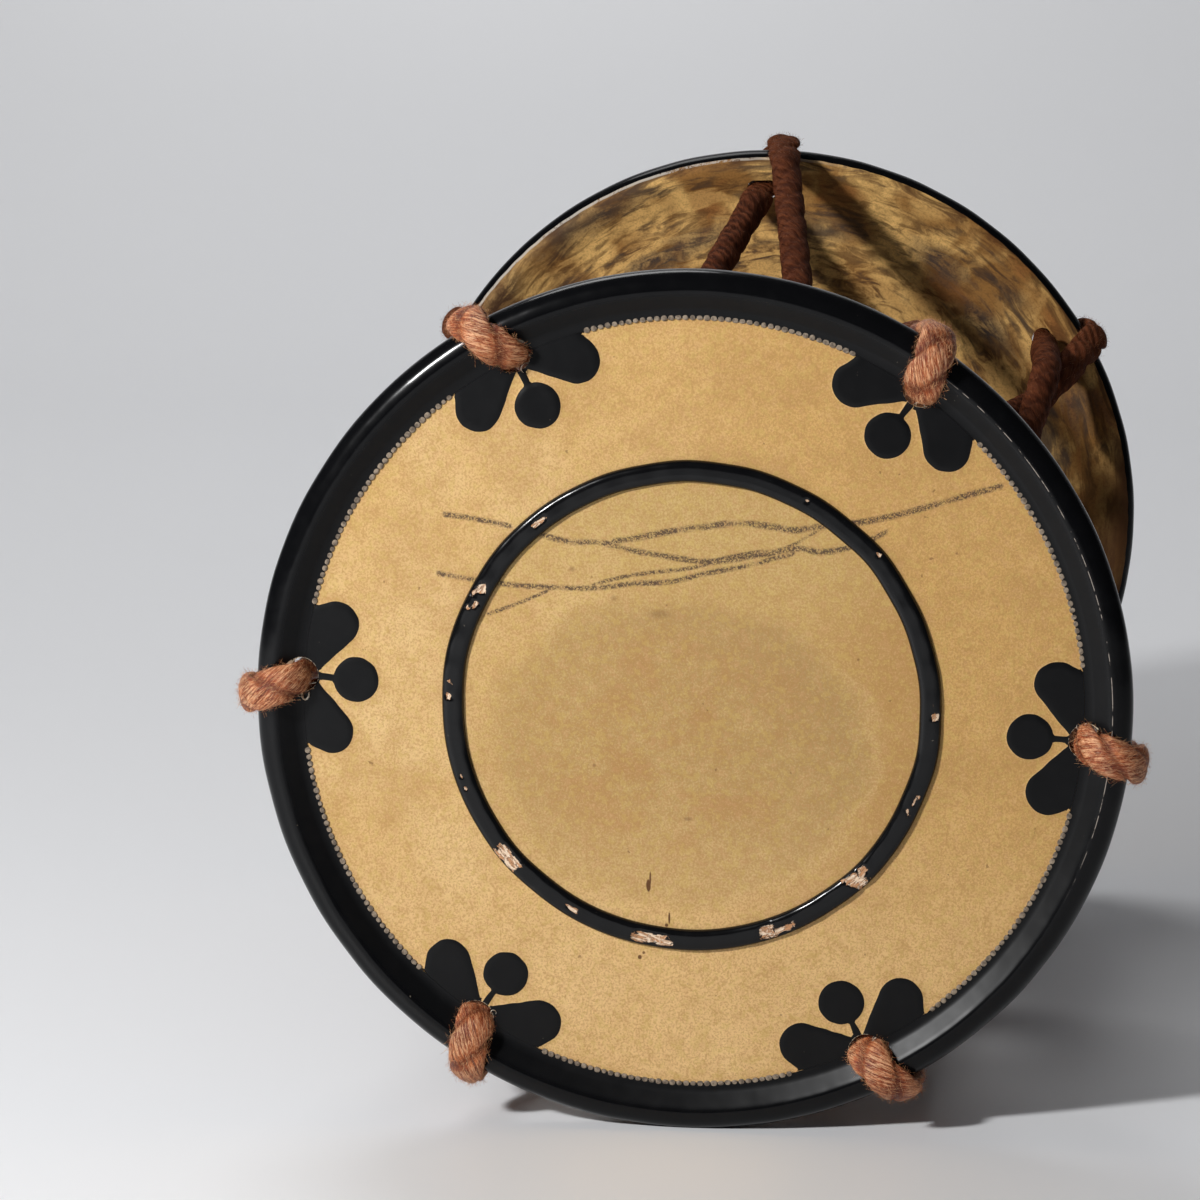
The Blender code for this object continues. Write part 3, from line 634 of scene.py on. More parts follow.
def markHead(obj, info, rimPiece):
    points = coordinates(obj)
    x, y = points[:, 0], points[:, 2]
    height = info["side"] * points[:, 1] - headSpacing / 2
    distance = lacquerDistance(x, y, info["holes"], info["seed"])
    inner = height < faceHeight(np.hypot(x, y)) - head["hide"] * 0.6
    if rimPiece:
        angle = rimAngle(x, y, height)
        azimuth = np.degrees(np.arctan2(x, y))
        edgeAngle = -53 + ringNoise(azimuth, info["seed"] + 5, 20, 120)
        behind = (angle < 0) & (angle > -170)
        distance = np.where(behind, (edgeAngle - angle) * 0.07, distance)
        distance = np.where((angle < -150) | ((angle > 150) & (height < 0.6)), 3.0, distance)
    else:
        distance = np.where(inner, 3.0, distance)
    addFloat(obj, "lacquerEdge", distance)
    addFloat(obj, "holeEdge", holeDistance(x, y, info["holes"]))


def splitMaterials(obj, info, outerMaterial, innerMaterial, innerTest):
    obj.data.materials.clear()
    obj.data.materials.append(outerMaterial)
    obj.data.materials.append(innerMaterial)
    centres = np.empty(len(obj.data.polygons) * 3)
    obj.data.polygons.foreach_get("center", centres)
    centres = centres.reshape(-1, 3)
    height = info["side"] * centres[:, 1] - headSpacing / 2
    inner = innerTest(np.hypot(centres[:, 0], centres[:, 2]), height)
    obj.data.polygons.foreach_set("material_index", inner.astype(np.int32))


def makeSkin(side, info):
    steps = head["steps"]
    azimuth = np.arange(steps) * 360 / steps
    coarse = [6, 14, 22, 30, 38, 44, 49, 52, 54.5, 57, 58.5, 60.5, 63, 65.5, 67]
    radii = np.concatenate([coarse, np.arange(67.6, head["seam"] - 0.2, 0.6), [head["seam"] + 0.02]])
    rings = []
    for radius in radii:
        x, y = polar(radius, azimuth)
        edge = lacquerDistance(x, y, info["holes"], info["seed"])
        height = faceHeight(radius) + head["relief"] * smoothStep(-edge / 0.75 + 0.1)
        height = height + 0.06 * planeNoise(x, y, info["seed"] + 2, 31) * smoothStep((radius - 57) / 10)
        rings.append(headPoints(x, y, height, info["side"]))
    for radius in reversed(np.concatenate([[6, 22, 38, 52, 57, 62, 67, 72, 77, 81, 84.5, 87], [head["seam"] + 0.02]])):
        x, y = polar(radius, azimuth)
        rings.append(headPoints(x, y, faceHeight(radius) - head["hide"] + x * 0, info["side"]))
    points = np.concatenate(rings)
    pole = headPoints(np.zeros(2), np.zeros(2), np.array([faceTop, faceTop - head["hide"]]), info["side"])
    faces = latheFaces(len(rings), steps, False, True, True)
    obj = meshFromArrays(side + "Skin", np.concatenate([points, pole]), faces)
    recalcNormals(obj)
    cutHoles(obj, info)
    markHead(obj, info, False)
    splitMaterials(obj, info, info["outer"], info["inner"],
                   lambda radius, height: height < faceHeight(radius) - head["hide"] * 0.8)
    settle(obj)
    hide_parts(side + "_hide")
    return obj


# The rim's section from the flank's foot over its crest, and behind the roll back to the skin
flank = [(91.6, 1.95), (92.7, 2.70), (93.8, 3.46), (94.6, 3.98), (95.1, 4.18), (95.5, 4.25), (95.9, 4.24),
         (96.4, 4.15), (97.1, 3.92)]
ramp = [(94.0, -3.62), (92.3, -2.75), (90.5, -1.90), (88.8, -1.18), (87.2, -0.55), (86.0, -0.15), (84.8, 0.12),
        (83.6, 0.30), (82.4, 0.42), (81.4, 0.50), (89.0, 0.16), (91.6, 0.0)]


def makeRim(side, info):
    steps = head["steps"]
    azimuth = np.arange(steps) * 360 / steps
    seam = head["seam"]
    bottom = head["seamHeight"] - head["hide"] - 0.05
    top = head["seamHeight"] + head["relief"]
    inner = head["rod"] + head["gap"]
    profile = [(seam + 0.06, top), (head["bandFlat"], top)] + flank
    profile += [(hoop + tube * math.cos(math.radians(a)), tube * math.sin(math.radians(a))) for a in range(66, -101, -8)]
    profile += ramp
    profile += [(hoop + inner * math.cos(math.radians(a)), inner * math.sin(math.radians(a))) for a in range(-150, 151, 20)]
    profile += [(92.0, bottom + 0.1), (seam + 0.06, bottom + 0.1)]
    rings = []
    wobbleOut = 0.05 * ringNoise(azimuth, info["seed"] + 20, 6, 46)
    wobbleUp = 0.07 * ringNoise(azimuth, info["seed"] + 21, 8, 60)
    for radius, height in profile:
        outOfRod = math.hypot(radius - hoop, height)
        share = (radius - 92) / 8 if radius > 92 and outOfRod > inner + 0.3 else 0.0
        x, y = polar(radius + wobbleOut * share, azimuth)
        rings.append(headPoints(x, y, height + wobbleUp * share * (1 if height > 0 else -1), info["side"]))
    obj = meshFromArrays(side + "Rim", np.concatenate(rings), latheFaces(len(rings), steps, True, False, False))
    recalcNormals(obj)
    cutHoles(obj, info)
    markHead(obj, info, True)
    splitMaterials(obj, info, info["outer"], info["inner"], lambda radius, height: (height < 0) | (radius < 88))
    settle(obj)
    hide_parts(side + "_rim_lacquer")
    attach(obj, info["body"])
    return obj


# Damaged places on the raised rings: azimuth, length and width in millimetres, place across the ring
chips = {
    "front": [(321.2, 3.8, 1.1, 0.1), (299.6, 2.6, 2.0, 0.3), (297.6, 1.6, 0.6, 1.3), (295.2, 1.8, 0.9, -0.2),
              (294.0, 1.0, 0.7, 1.0), (275.9, 1.4, 0.5, 0.9), (274.2, 1.0, 0.35, 0.2), (271.7, 1.8, 1.1, 0.8),
              (252.1, 1.1, 0.5, 0.5), (250.2, 0.8, 0.3, -0.2), (248.8, 0.9, 0.6, 0.6), (229.4, 6.4, 2.8, 0.5),
              (209.8, 3.2, 0.8, 0.2), (189.8, 7.6, 2.4, 0.3), (185.6, 3.6, 1.2, 0.8), (161.0, 3.4, 3.0, 0.2),
              (156.8, 4.6, 1.3, 0.9), (135.8, 3.4, 4.0, 0.2), (133.0, 2.6, 1.8, -0.6), (116.0, 1.6, 0.5, 0.9),
              (114.4, 0.9, 0.3, 0.0), (111.8, 1.8, 0.5, 0.5), (110.4, 0.9, 0.9, 1.0), (90.6, 1.7, 1.6, 1.2),
              (88.0, 1.2, 0.4, 0.4), (49.3, 1.4, 0.9, 1.2), (28.4, 0.9, 0.5, 0.6), (1.5, 1.5, 0.35, 0.9),
              (358.8, 0.9, 0.3, -0.3)],
    "rear": [(12, 4, 2.0, 0.4), (65, 2, 1.2, -0.8), (118, 6, 2.4, 0.3), (171, 1.4, 1.2, 0.9), (214, 5, 2.2, -0.5),
             (262, 1.5, 1.2, 0.6), (309, 6, 2.6, 0.1), (338, 2, 1.4, -1.0)],
}


def makeRing(side, info):
    steps = 1000
    azimuth = np.arange(steps) * 360 / steps
    half = (head["ringOuter"] - head["ringInner"]) / 2
    centre = (head["ringOuter"] + head["ringInner"]) / 2
    offsets = [-half, -half * 0.97, -half * 0.9, -half * 0.75, -half * 0.5, -half * 0.25, 0, half * 0.25, half * 0.5,
               half * 0.75, half * 0.9, half * 0.97, half]
    heights = [-0.05, 0.30, 0.58, 0.86, 1.0, 1.0, 1.0, 1.0, 1.0, 0.86, 0.58, 0.30, -0.05]
    rings = []
    chipRings, flakeRings = [], []
    wobble = 0.09 * ringNoise(azimuth, info["seed"] + 30, 3, 24)
    for offset, height in zip(offsets, heights):
        radius = centre + offset + wobble
        x, y = polar(radius, azimuth)
        chip = np.zeros(steps)
        flake = np.zeros((steps, 3))
        for number, (place0, length, width, shift) in enumerate(chips[side]):
            away = ((azimuth - place0 + 180) % 360 - 180) * math.pi / 180 * centre
            across = offset - shift
            lean = 0.5 * math.sin(number * 2.3)
            u = (away + lean * across) / (length / 2)
            v = across / (width / 2) * (1 + 0.35 * math.sin(number * 1.7) * np.clip(u, -1, 1))
            value = 1 - 0.5 * np.maximum(np.abs(u), np.abs(v))
            flake[value > chip] = np.stack([away, across + away * 0.06, away * 0 + number * 9], axis=-1)[value > chip]
            chip = np.maximum(chip, value)
        flakeRings.append(flake)
        chipRings.append(chip)
        sunk = 0.30 * smoothStep((chip - 0.48) / 0.15) if height > 0.5 else 0
        rise = head["ringHeight"] * height * (1 + 0.03 * ringNoise(azimuth, info["seed"] + 32, 5, 50))
        rings.append(headPoints(x, y, faceTop + 0.02 + rise - sunk, info["side"]))
    obj = meshFromArrays(side + "Ring", np.concatenate(rings), latheFaces(len(rings), steps, True, False, False))
    recalcNormals(obj)
    addFloat(obj, "chip", np.concatenate(chipRings))
    addVector(obj, "flake", np.concatenate(flakeRings))
    settle(obj, None)
    obj.data.materials.append(info["ringMaterial"])
    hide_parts(side + "_ring_lacquer")
    return obj


# Stitches along the seam, by Geometry Nodes

stitch = dict(radius=89.22, length=1.40, width=1.66, thick=0.22, lift=0.22, clear=17.2)


def nodeTree(name, inputs):
    tree = bpy.data.node_groups.new(name, "GeometryNodeTree")
    tree.interface.new_socket("Geometry", in_out="INPUT", socket_type="NodeSocketGeometry")
    for title, kind, value in inputs:
        socket = tree.interface.new_socket(title, in_out="INPUT", socket_type=kind)
        if value is not None:
            socket.default_value = value
    tree.interface.new_socket("Geometry", in_out="OUTPUT", socket_type="NodeSocketGeometry")
    return tree, tree.nodes.new("NodeGroupInput"), tree.nodes.new("NodeGroupOutput")


def linkNodes(tree, *pairs):
    for source, target in pairs:
        tree.links.new(source, target)


def stitchTree(material):
    # A bead on every point of the seam, lying across it
    tree, source, result = nodeTree("stitchesAlongSeam", [
        ("Length", "NodeSocketFloat", stitch["length"]), ("Width", "NodeSocketFloat", stitch["width"]),
        ("Thickness", "NodeSocketFloat", stitch["thick"]), ("Seed", "NodeSocketInt", 4)])
    new = tree.nodes.new
    bead = new("GeometryNodeMeshIcoSphere")
    bead.inputs["Radius"].default_value = 0.5
    bead.inputs["Subdivisions"].default_value = 2
    points = new("GeometryNodeInstanceOnPoints")
    across = new("GeometryNodeInputNamedAttribute")
    across.data_type = "FLOAT_VECTOR"
    across.inputs["Name"].default_value = "outward"
    align = new("FunctionNodeAlignEulerToVector")
    align.axis = "X"
    jitter = new("FunctionNodeRandomValue")
    jitter.data_type = "FLOAT_VECTOR"
    jitter.inputs[0].default_value = (0.82, 0.80, 0.85)
    jitter.inputs[1].default_value = (1.12, 1.20, 1.1)
    size = new("ShaderNodeCombineXYZ")
    scale = new("ShaderNodeVectorMath")
    scale.operation = "MULTIPLY"
    realize = new("GeometryNodeRealizeInstances")
    paint = new("GeometryNodeSetMaterial")
    paint.inputs["Material"].default_value = material
    linkNodes(tree,
              (source.outputs["Geometry"], points.inputs["Points"]), (bead.outputs["Mesh"], points.inputs["Instance"]),
              (across.outputs[0], align.inputs["Vector"]), (align.outputs[0], points.inputs["Rotation"]),
              (source.outputs["Length"], size.inputs[0]), (source.outputs["Thickness"], size.inputs[1]),
              (source.outputs["Width"], size.inputs[2]), (size.outputs[0], scale.inputs[0]),
              (source.outputs["Seed"], jitter.inputs["Seed"]), (jitter.outputs[0], scale.inputs[1]),
              (scale.outputs[0], points.inputs["Scale"]), (points.outputs[0], realize.inputs[0]),
              (realize.outputs[0], paint.inputs[0]), (paint.outputs[0], result.inputs[0]))
    return tree


def nodeResult(guide, tree, settings):
    # The mesh that a tree of nodes makes of a guide object, which it replaces
    mod = guide.modifiers.new("nodes", "NODES")
    mod.node_group = tree
    names = {item.name: item.identifier for item in tree.interface.items_tree if item.item_type == "SOCKET"}
    for title, value in settings.items():
        mod[names[title]] = value
    bpy.context.view_layer.update()
    depsgraph = bpy.context.evaluated_depsgraph_get()
    mesh = bpy.data.meshes.new_from_object(guide.evaluated_get(depsgraph))
    bpy.data.objects.remove(guide, do_unlink=True)
    return mesh


def makeStitches(side, info, tree):
    azimuth = np.arange(teeth) * 360 / teeth
    for hole in info["holes"]:
        away = np.radians(np.abs((azimuth - hole + 180) % 360 - 180)) * stitch["radius"]
        azimuth = azimuth[away > stitch["clear"]]
    x, y = polar(stitch["radius"], azimuth)
    height = np.full_like(x, float(faceHeight(stitch["radius"])) + stitch["lift"])
    guide = meshFromArrays(side + "Seam", headPoints(x, y, height, info["side"]), [])
    addVector(guide, "outward", np.stack([x, np.zeros_like(x), y], axis=-1))
    obj = bpy.data.objects.new(side + "Stitches", nodeResult(guide, tree, dict(Seed=info["seed"])))
    bpy.context.scene.collection.objects.link(obj)
    settle(obj, None)
    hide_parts(*[f"{side}_stitching_{n}" for n in range(1, 7)])
    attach(obj, info["body"])
    return obj


def threadMaterial():
    shader = Shader("seamThread")
    point = shader.attribute("drumPoint", "Vector")
    tone = shader.noise(point, 1.2, 3, 0.6)
    colour = shader.mix(tone.step(0.35, 0.65), (0.300, 0.235, 0.170), (0.110, 0.083, 0.060))
    return shader.finish(Base_Color=colour, Roughness=0.85)


# Torn fibres of the raw hide round the struck head's cord holes: the hole's number, how many,
# and the part of its edge that they grow from, in degrees from outwards. One shred is curled up.
frays = dict(thick=0.12, seed=21, points=11, sides=6, curled=4, curlPlace=(-1.4, -3.9), curlSize=(0.90, 1.70),
             curlThick=0.38, tufts=[(4, 4, -175, -60), (3, 7, -135, -60), (3, 3, 25, 70), (1, 6, -110, -25),
                                    (2, 4, 30, 70), (2, 3, -120, -70), (5, 3, 60, 160), (0, 2, 100, 170)])


def taperedTube(path, radius, sides):
    # Rings round a path, then its two ends
    tangent = np.gradient(path, axis=0)
    tangent /= np.linalg.norm(tangent, axis=1)[:, None]
    first = np.cross(tangent, [0.2, 1.0, 0.1])
    first /= np.linalg.norm(first, axis=1)[:, None]
    second = np.cross(tangent, first)
    turns = 2 * math.pi * np.arange(sides) / sides
    width = radius * np.linspace(1.0, 0.45, len(path))
    around = np.cos(turns)[None, :, None] * first[:, None] + np.sin(turns)[None, :, None] * second[:, None]
    rings = path[:, None] + width[:, None, None] * around
    return np.concatenate([rings.reshape(-1, 3), path[:1], path[-1:]])


def shredPaths():
    # Each shred: its hole, its way out from the hole's centre and across, its height and its thickness
    rng = np.random.default_rng(frays["seed"])
    along = np.linspace(0, 1, frays["points"])
    lift = head["seamHeight"] + head["relief"]
    turn = along * 5.4 - 0.6
    yield (frays["curled"], frays["curlPlace"][0] + frays["curlSize"][0] * np.sin(turn),
           frays["curlPlace"][1] + frays["curlSize"][1] * np.cos(turn), lift + 0.25 + along * 0.5, frays["curlThick"])
    for number, count, start, end in frays["tufts"]:
        for _ in range(count):
            turn = math.radians(rng.uniform(start, end))
            length, curl = rng.uniform(1.6, 4.2), rng.uniform(-5.0, 5.0)
            heading = turn + math.pi + rng.uniform(-1.3, 1.3) + curl * along
            across, out = holeOutline(np.array([turn]))
            across = across * 1.03 + np.cumsum(np.sin(heading)) * length / frays["points"]
            out = out * 1.03 + np.cumsum(np.cos(heading)) * length / frays["points"]
            up = lift - 0.15 + rng.uniform(0.5, 1.5) * np.sin(along * math.pi * 0.8) + rng.uniform(0, 0.3)
            yield number, out, across, up, frays["thick"] * rng.uniform(0.6, 1.3)


def makeFrays(side, info):
    points, faces, base = [], [], 0
    for number, out, across, up, thick in shredPaths():
        a = math.radians(info["holes"][number])
        x, y = polar(head["holeCentre"], info["holes"][number])
        x = x + out * math.sin(a) + across * math.cos(a)
        y = y + out * math.cos(a) - across * math.sin(a)
        points.append(taperedTube(headPoints(x, y, up, info["side"]), thick, frays["sides"]))
        faces += [tuple(base + i for i in face) for face in latheFaces(frays["points"], frays["sides"], False, True, True)]
        base += len(points[-1])
    obj = meshFromArrays(side + "Frays", np.concatenate(points), faces)
    recalcNormals(obj)
    shader = Shader("tornHide")
    tone = shader.noise(shader.attribute("drumPoint", "Vector"), 1.5, 2, 0.5)
    colour = shader.mix(tone.step(0.35, 0.60), (0.78, 0.70, 0.58), (0.36, 0.25, 0.16))
    obj.data.materials.append(shader.finish(Base_Color=colour, Roughness=0.7))
    settle(obj, None)
    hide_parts(side + "_hide")
    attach(obj, info["body"])


def blendHead(obj, info):
    # Bakes the piece's place into its mesh; the heights of the seam and the middle are worked out but move nothing
    height = {"seam": head["seamHeight"] - 0.2, "middle": faceTop - 0.9}
    ends = [place @ Vector((0, info["side"] * (headSpacing / 2 + h) * mm, 0)) for h in (height["seam"], height["middle"])]
    tuple(ends[0])
    tuple(ends[1])
    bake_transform(obj)


threads = stitchTree(threadMaterial())
for side, info in heads.items():
    info["outer"] = headMaterial(side + "HeadFace", info, True, side == "front")
    info["inner"] = headMaterial(side + "HeadInside", info, False, False)
    info["ringMaterial"] = plainLacquer(side + "RingLacquer", True)
    skin = makeSkin(side, info)
    blendHead(skin, info)
    makeRim(side, info)
    ring = makeRing(side, info)
    blendHead(ring, info)
    makeStitches(side, info, threads)
    if side == "front":
        makeFrays(side, info)
    print(side, "head made")


# Cords

cord = dict(
    radius=4.35, base=tube + 0.3, holeSqueeze=0.94, slimHole=("front", 4), slimSqueeze=0.78, legShare=0.85,
    flatten=0.48, holeFlatten=0.56, ridges=5, ridgeTurn=0.967,
    roundStart=-35.0, roundFull=-80.0, roundFade=40.0, reach=13.0, fade=14.0,
    waist=66.0, waistHalf=14.0, holeSide=-100.0, rimSide=106.0, diveSide=127.0,
    lay=27.0, groove=0.23, legGroove=0.10, grooveWidth=0.46, sides=28, step=1.2,
)
# The cord visits these stations in turn: head, hole number, the side it enters by,
# and the azimuth at the waist of the leg that follows.
route = [
    ("front", 5, "hole", 316), ("rear", 5, "rim", 287), ("front", 4, "hole", 257), ("rear", 4, "rim", 227),
    ("front", 3, "hole", 197), ("rear", 3, "rim", 167), ("front", 2, "hole", 139), ("rear", 2, "rim", 111),
    ("front", 1, "rim", 78), ("rear", 1, "hole", 55), ("front", 0, "hole", 14), ("rear", 0, "rim", -14),
]
# Two legs cross before the rear head: radius, azimuth and place along the axis where each bends
crossings = {("front", 1): (89.9, 58.0, 77.5), ("rear", 1): (82.5, 63.8, 95.6)}
leans = {"front": [-2.0, 2.5, -2.5, -3.0, -3.0, -3.5], "rear": [3.4] * 6}


def pressed(distance, angle):
    inHole = smoothStep((angle - cord["roundStart"]) / (cord["roundFull"] - cord["roundStart"]))
    inHole = inHole * smoothStep((angle + 180) / cord["roundFade"])
    flat = cord["flatten"] + (cord["holeFlatten"] - cord["flatten"]) * inHole
    share = flat + (1 - flat) * smoothStep((distance - cord["reach"]) / cord["fade"])
    return cord["base"] + (distance - cord["base"]) * share


def unpressed(distance, angle):
    low, high = np.full_like(distance, cord["base"] - 4), np.full_like(distance, 90.0)
    for _ in range(40):
        half = (low + high) / 2
        over = pressed(half, angle) > distance
        low, high = np.where(over, low, half), np.where(over, half, high)
    return (low + high) / 2


def moveNearHoop(points, change):
    # Move points along the line from the nearest hoop, from one distance to another
    across = np.hypot(points[:, 0], points[:, 2])
    sign = np.sign(points[:, 1])
    out, along = across - hoop, points[:, 1] - sign * headSpacing / 2
    distance = np.hypot(out, along)
    angle = np.degrees(np.arctan2(out, along * sign))
    ratio = np.where(distance < 70, change(distance, angle) / distance, 1.0)
    scale = (hoop + out * ratio) / across
    return np.stack([points[:, 0] * scale, sign * headSpacing / 2 + along * ratio, points[:, 2] * scale], axis=-1)


def press(points):
    return moveNearHoop(points, pressed)


def unpress(points):
    return moveNearHoop(points, unpressed)


def station(side, number, enters):
    hole, lean = heads[side]["holes"][number], leans[side][number]
    rimSide = cord["diveSide"] if (side, number) == ("rear", 1) else cord["rimSide"]
    angle = np.linspace(cord["holeSide"], rimSide, 24)
    squeeze = cord["slimSqueeze"] if (side, number) == cord["slimHole"] else cord["holeSqueeze"]
    thin = 1 - (1 - squeeze) * smoothStep((-angle - 40) / 50)
    distance = cord["base"] + cord["radius"] * thin
    a = np.radians(angle)
    x, z = polar(hoop + distance * np.sin(a), hole + lean * smoothStep((angle + 90) / 180))
    y = heads[side]["side"] * (headSpacing / 2 + distance * np.cos(a))
    points = np.stack([x, y, z], axis=-1)
    return (points, thin) if enters == "hole" else (points[::-1], thin[::-1])


def lacingPath():
    # Points of the closed cord before it is pressed to the rims, their share of its radius, and
    # how much each belongs to a loop
    stops = [station(*stop[:3]) for stop in route]
    points, thin, loop = [], [], []
    for i, (stopPoints, stopThin) in enumerate(stops):
        nextPoints, nextThin = stops[(i + 1) % len(stops)]
        leave, arrive = press(stopPoints[-1:])[0], press(nextPoints[:1])[0]
        forward = 1 if route[i][0] == "front" else -1
        x, z = polar(cord["waist"], route[i][3])
        bends = [np.array([x, -forward * cord["waistHalf"], z]), np.array([x, forward * cord["waistHalf"], z])]
        if route[i][:2] in crossings:
            radius, azimuth, along = crossings[route[i][:2]]
            x, z = polar(radius, azimuth)
            bends.insert(2 if forward == 1 else 0, np.array([x, along, z]))
        corners = [leave, *bends, arrive]
        run = []
        for a, b in zip(corners, corners[1:]):
            count = max(int(np.linalg.norm(b - a) / 4), 3)
            run.append(a + (b - a) * (np.arange(1, count)[:, None] / count))
        run = np.concatenate(run)
        fromLeave, fromArrive = np.linalg.norm(run - leave, axis=1), np.linalg.norm(run - arrive, axis=1)
        start = np.where(fromLeave < fromArrive, stopThin[-1], nextThin[0])
        away = np.minimum(fromLeave, fromArrive)
        points += [stopPoints, unpress(run)]
        thin += [stopThin, start + (cord["legShare"] - start) * smoothStep(away / (cord["reach"] + cord["fade"]))]
        loop += [np.ones(len(stopPoints)), smoothStep(1 - away / 22)]
    return np.concatenate(points), np.stack([np.concatenate(thin), np.concatenate(loop)], axis=-1)


def resample(points, values, step, closed):
    if closed:
        points = np.concatenate([points, points[:1]])
        values = np.concatenate([values, values[:1]])
    length = np.concatenate([[0], np.cumsum(np.linalg.norm(np.diff(points, axis=0), axis=1))])
    at = np.linspace(0, length[-1], int(length[-1] / step), endpoint=not closed)
    points = np.stack([np.interp(at, length, points[:, k]) for k in range(3)], axis=-1)
    return points, np.stack([np.interp(at, length, values[:, k]) for k in range(2)], axis=-1), at, length[-1]


def smoothPath(points, closed, rounds):
    for _ in range(rounds):
        if closed:
            points = (np.roll(points, 1, 0) + 2 * points + np.roll(points, -1, 0)) / 4
        else:
            points[1:-1] = (points[:-2] + 2 * points[1:-1] + points[2:]) / 4
    return points


def pathFrames(points, closed):
    # Frames that don't twist, with what is left over at a closed end spread along the path
    if closed:
        tangents = np.roll(points, -1, 0) - np.roll(points, 1, 0)
    else:
        tangents = np.gradient(points, axis=0)
    tangents /= np.linalg.norm(tangents, axis=1)[:, None]
    normal = np.cross(tangents[0], [0.3, 0.2, 0.9])
    normals = []
    for tangent in tangents:
        normal = normal - tangent * np.dot(normal, tangent)
        normal /= np.linalg.norm(normal)
        normals.append(normal)
    normals = np.array(normals)
    twist = 0.0
    if closed:
        end = normals[-1] - tangents[0] * np.dot(normals[-1], tangents[0])
        end /= np.linalg.norm(end)
        side = np.cross(tangents[0], normals[0])
        twist = -math.atan2(np.dot(end, side), np.dot(end, normals[0]))
    return tangents, normals, np.cross(tangents, normals), twist


def cordRings(points, values, at, total, radius, closed, deform):
    # Rings of points with two shallow spiral grooves, and a point for each that follows the fibres
    tangents, normals, sides, twist = pathFrames(points, closed)
    lay, lie = round(total / cord["lay"]), round(total / 52)
    thin, depth = values[:, 0], cord["legGroove"] + (cord["groove"] - cord["legGroove"]) * values[:, 1]
    rings, fibres, grooves = [], [], []
    for k in range(cord["sides"]):
        a = 2 * math.pi * k / cord["sides"]
        turn = a + twist * at / total
        groove = 0
        for start in (0, math.pi):
            away = (a - start - 2 * math.pi * lay * at / total + math.pi) % (2 * math.pi) - math.pi
            groove = groove + np.exp(-(away / cord["grooveWidth"]) ** 2)
        lump = 0.020 * np.sin(at / 6.1 + 2 * a) + 0.014 * np.sin(at / 2.3 + 3 * a) + 0.012 * np.sin(at / 1.3 - 5 * a)
        lying = a + 2 * math.pi * lie * at / total
        lump = lump + 0.026 * (1 - values[:, 1]) * np.sin(at * cord["ridgeTurn"] + cord["ridges"] * lying)
        size = radius * thin * (1.04 - depth * groove + lump)
        grooves.append(groove)
        rings.append(points + size[:, None] * (np.cos(turn)[:, None] * normals + np.sin(turn)[:, None] * sides))
        fibres.append(np.stack([at, radius * np.sin(lying), radius * np.cos(lying)], axis=-1))
    shape = (len(points), cord["sides"], 3)
    rings = deform(np.stack(rings, axis=1).reshape(-1, 3)).reshape(shape)
    return rings, np.stack(fibres, axis=1), np.repeat(tangents[:, None, :], cord["sides"], axis=1), np.stack(grooves, axis=1)


def cordMesh(name, made, loop, runs):
    # Each run is a list of ring numbers and becomes a capped tube
    rings, fibres, tangents, grooves = made
    order = np.concatenate([np.array(run) for run in runs])
    sides = cord["sides"]
    faces, base = [], 0
    for run in runs:
        last = base + (len(run) - 1) * sides
        for start in range(base, last, sides):
            faces += [(start + k, start + (k + 1) % sides, start + sides + (k + 1) % sides, start + sides + k)
                      for k in range(sides)]
        faces.append(tuple(base + k for k in reversed(range(sides))))
        faces.append(tuple(last + k for k in range(sides)))
        base = last + sides
    obj = meshFromArrays(name, rings[order].reshape(-1, 3), faces)
    recalcNormals(obj)
    addVector(obj, "cordPoint", fibres[order].reshape(-1, 3))
    addVector(obj, "strandDirection", tangents[order].reshape(-1, 3))
    addFloat(obj, "loopShare", np.repeat(loop[order], sides))
    addFloat(obj, "groove", grooves[order].ravel())
    # The loops over the struck head shine; the legs and the rear loops take a dull, darker copy, partly worn and partly
    # painted shade
    obj.data.materials.append(hemp)
    obj.data.materials.append(wornShadedHemp)
    share = [np.mean([loop[order[v // sides]] for v in face]) for face in faces]
    dull = [not (value > 0.5 and rings[order[face[0] // sides], 0, 1] < 0) for value, face in zip(share, faces)]
    obj.data.polygons.foreach_set("material_index", np.array(dull, np.int32))
    return obj


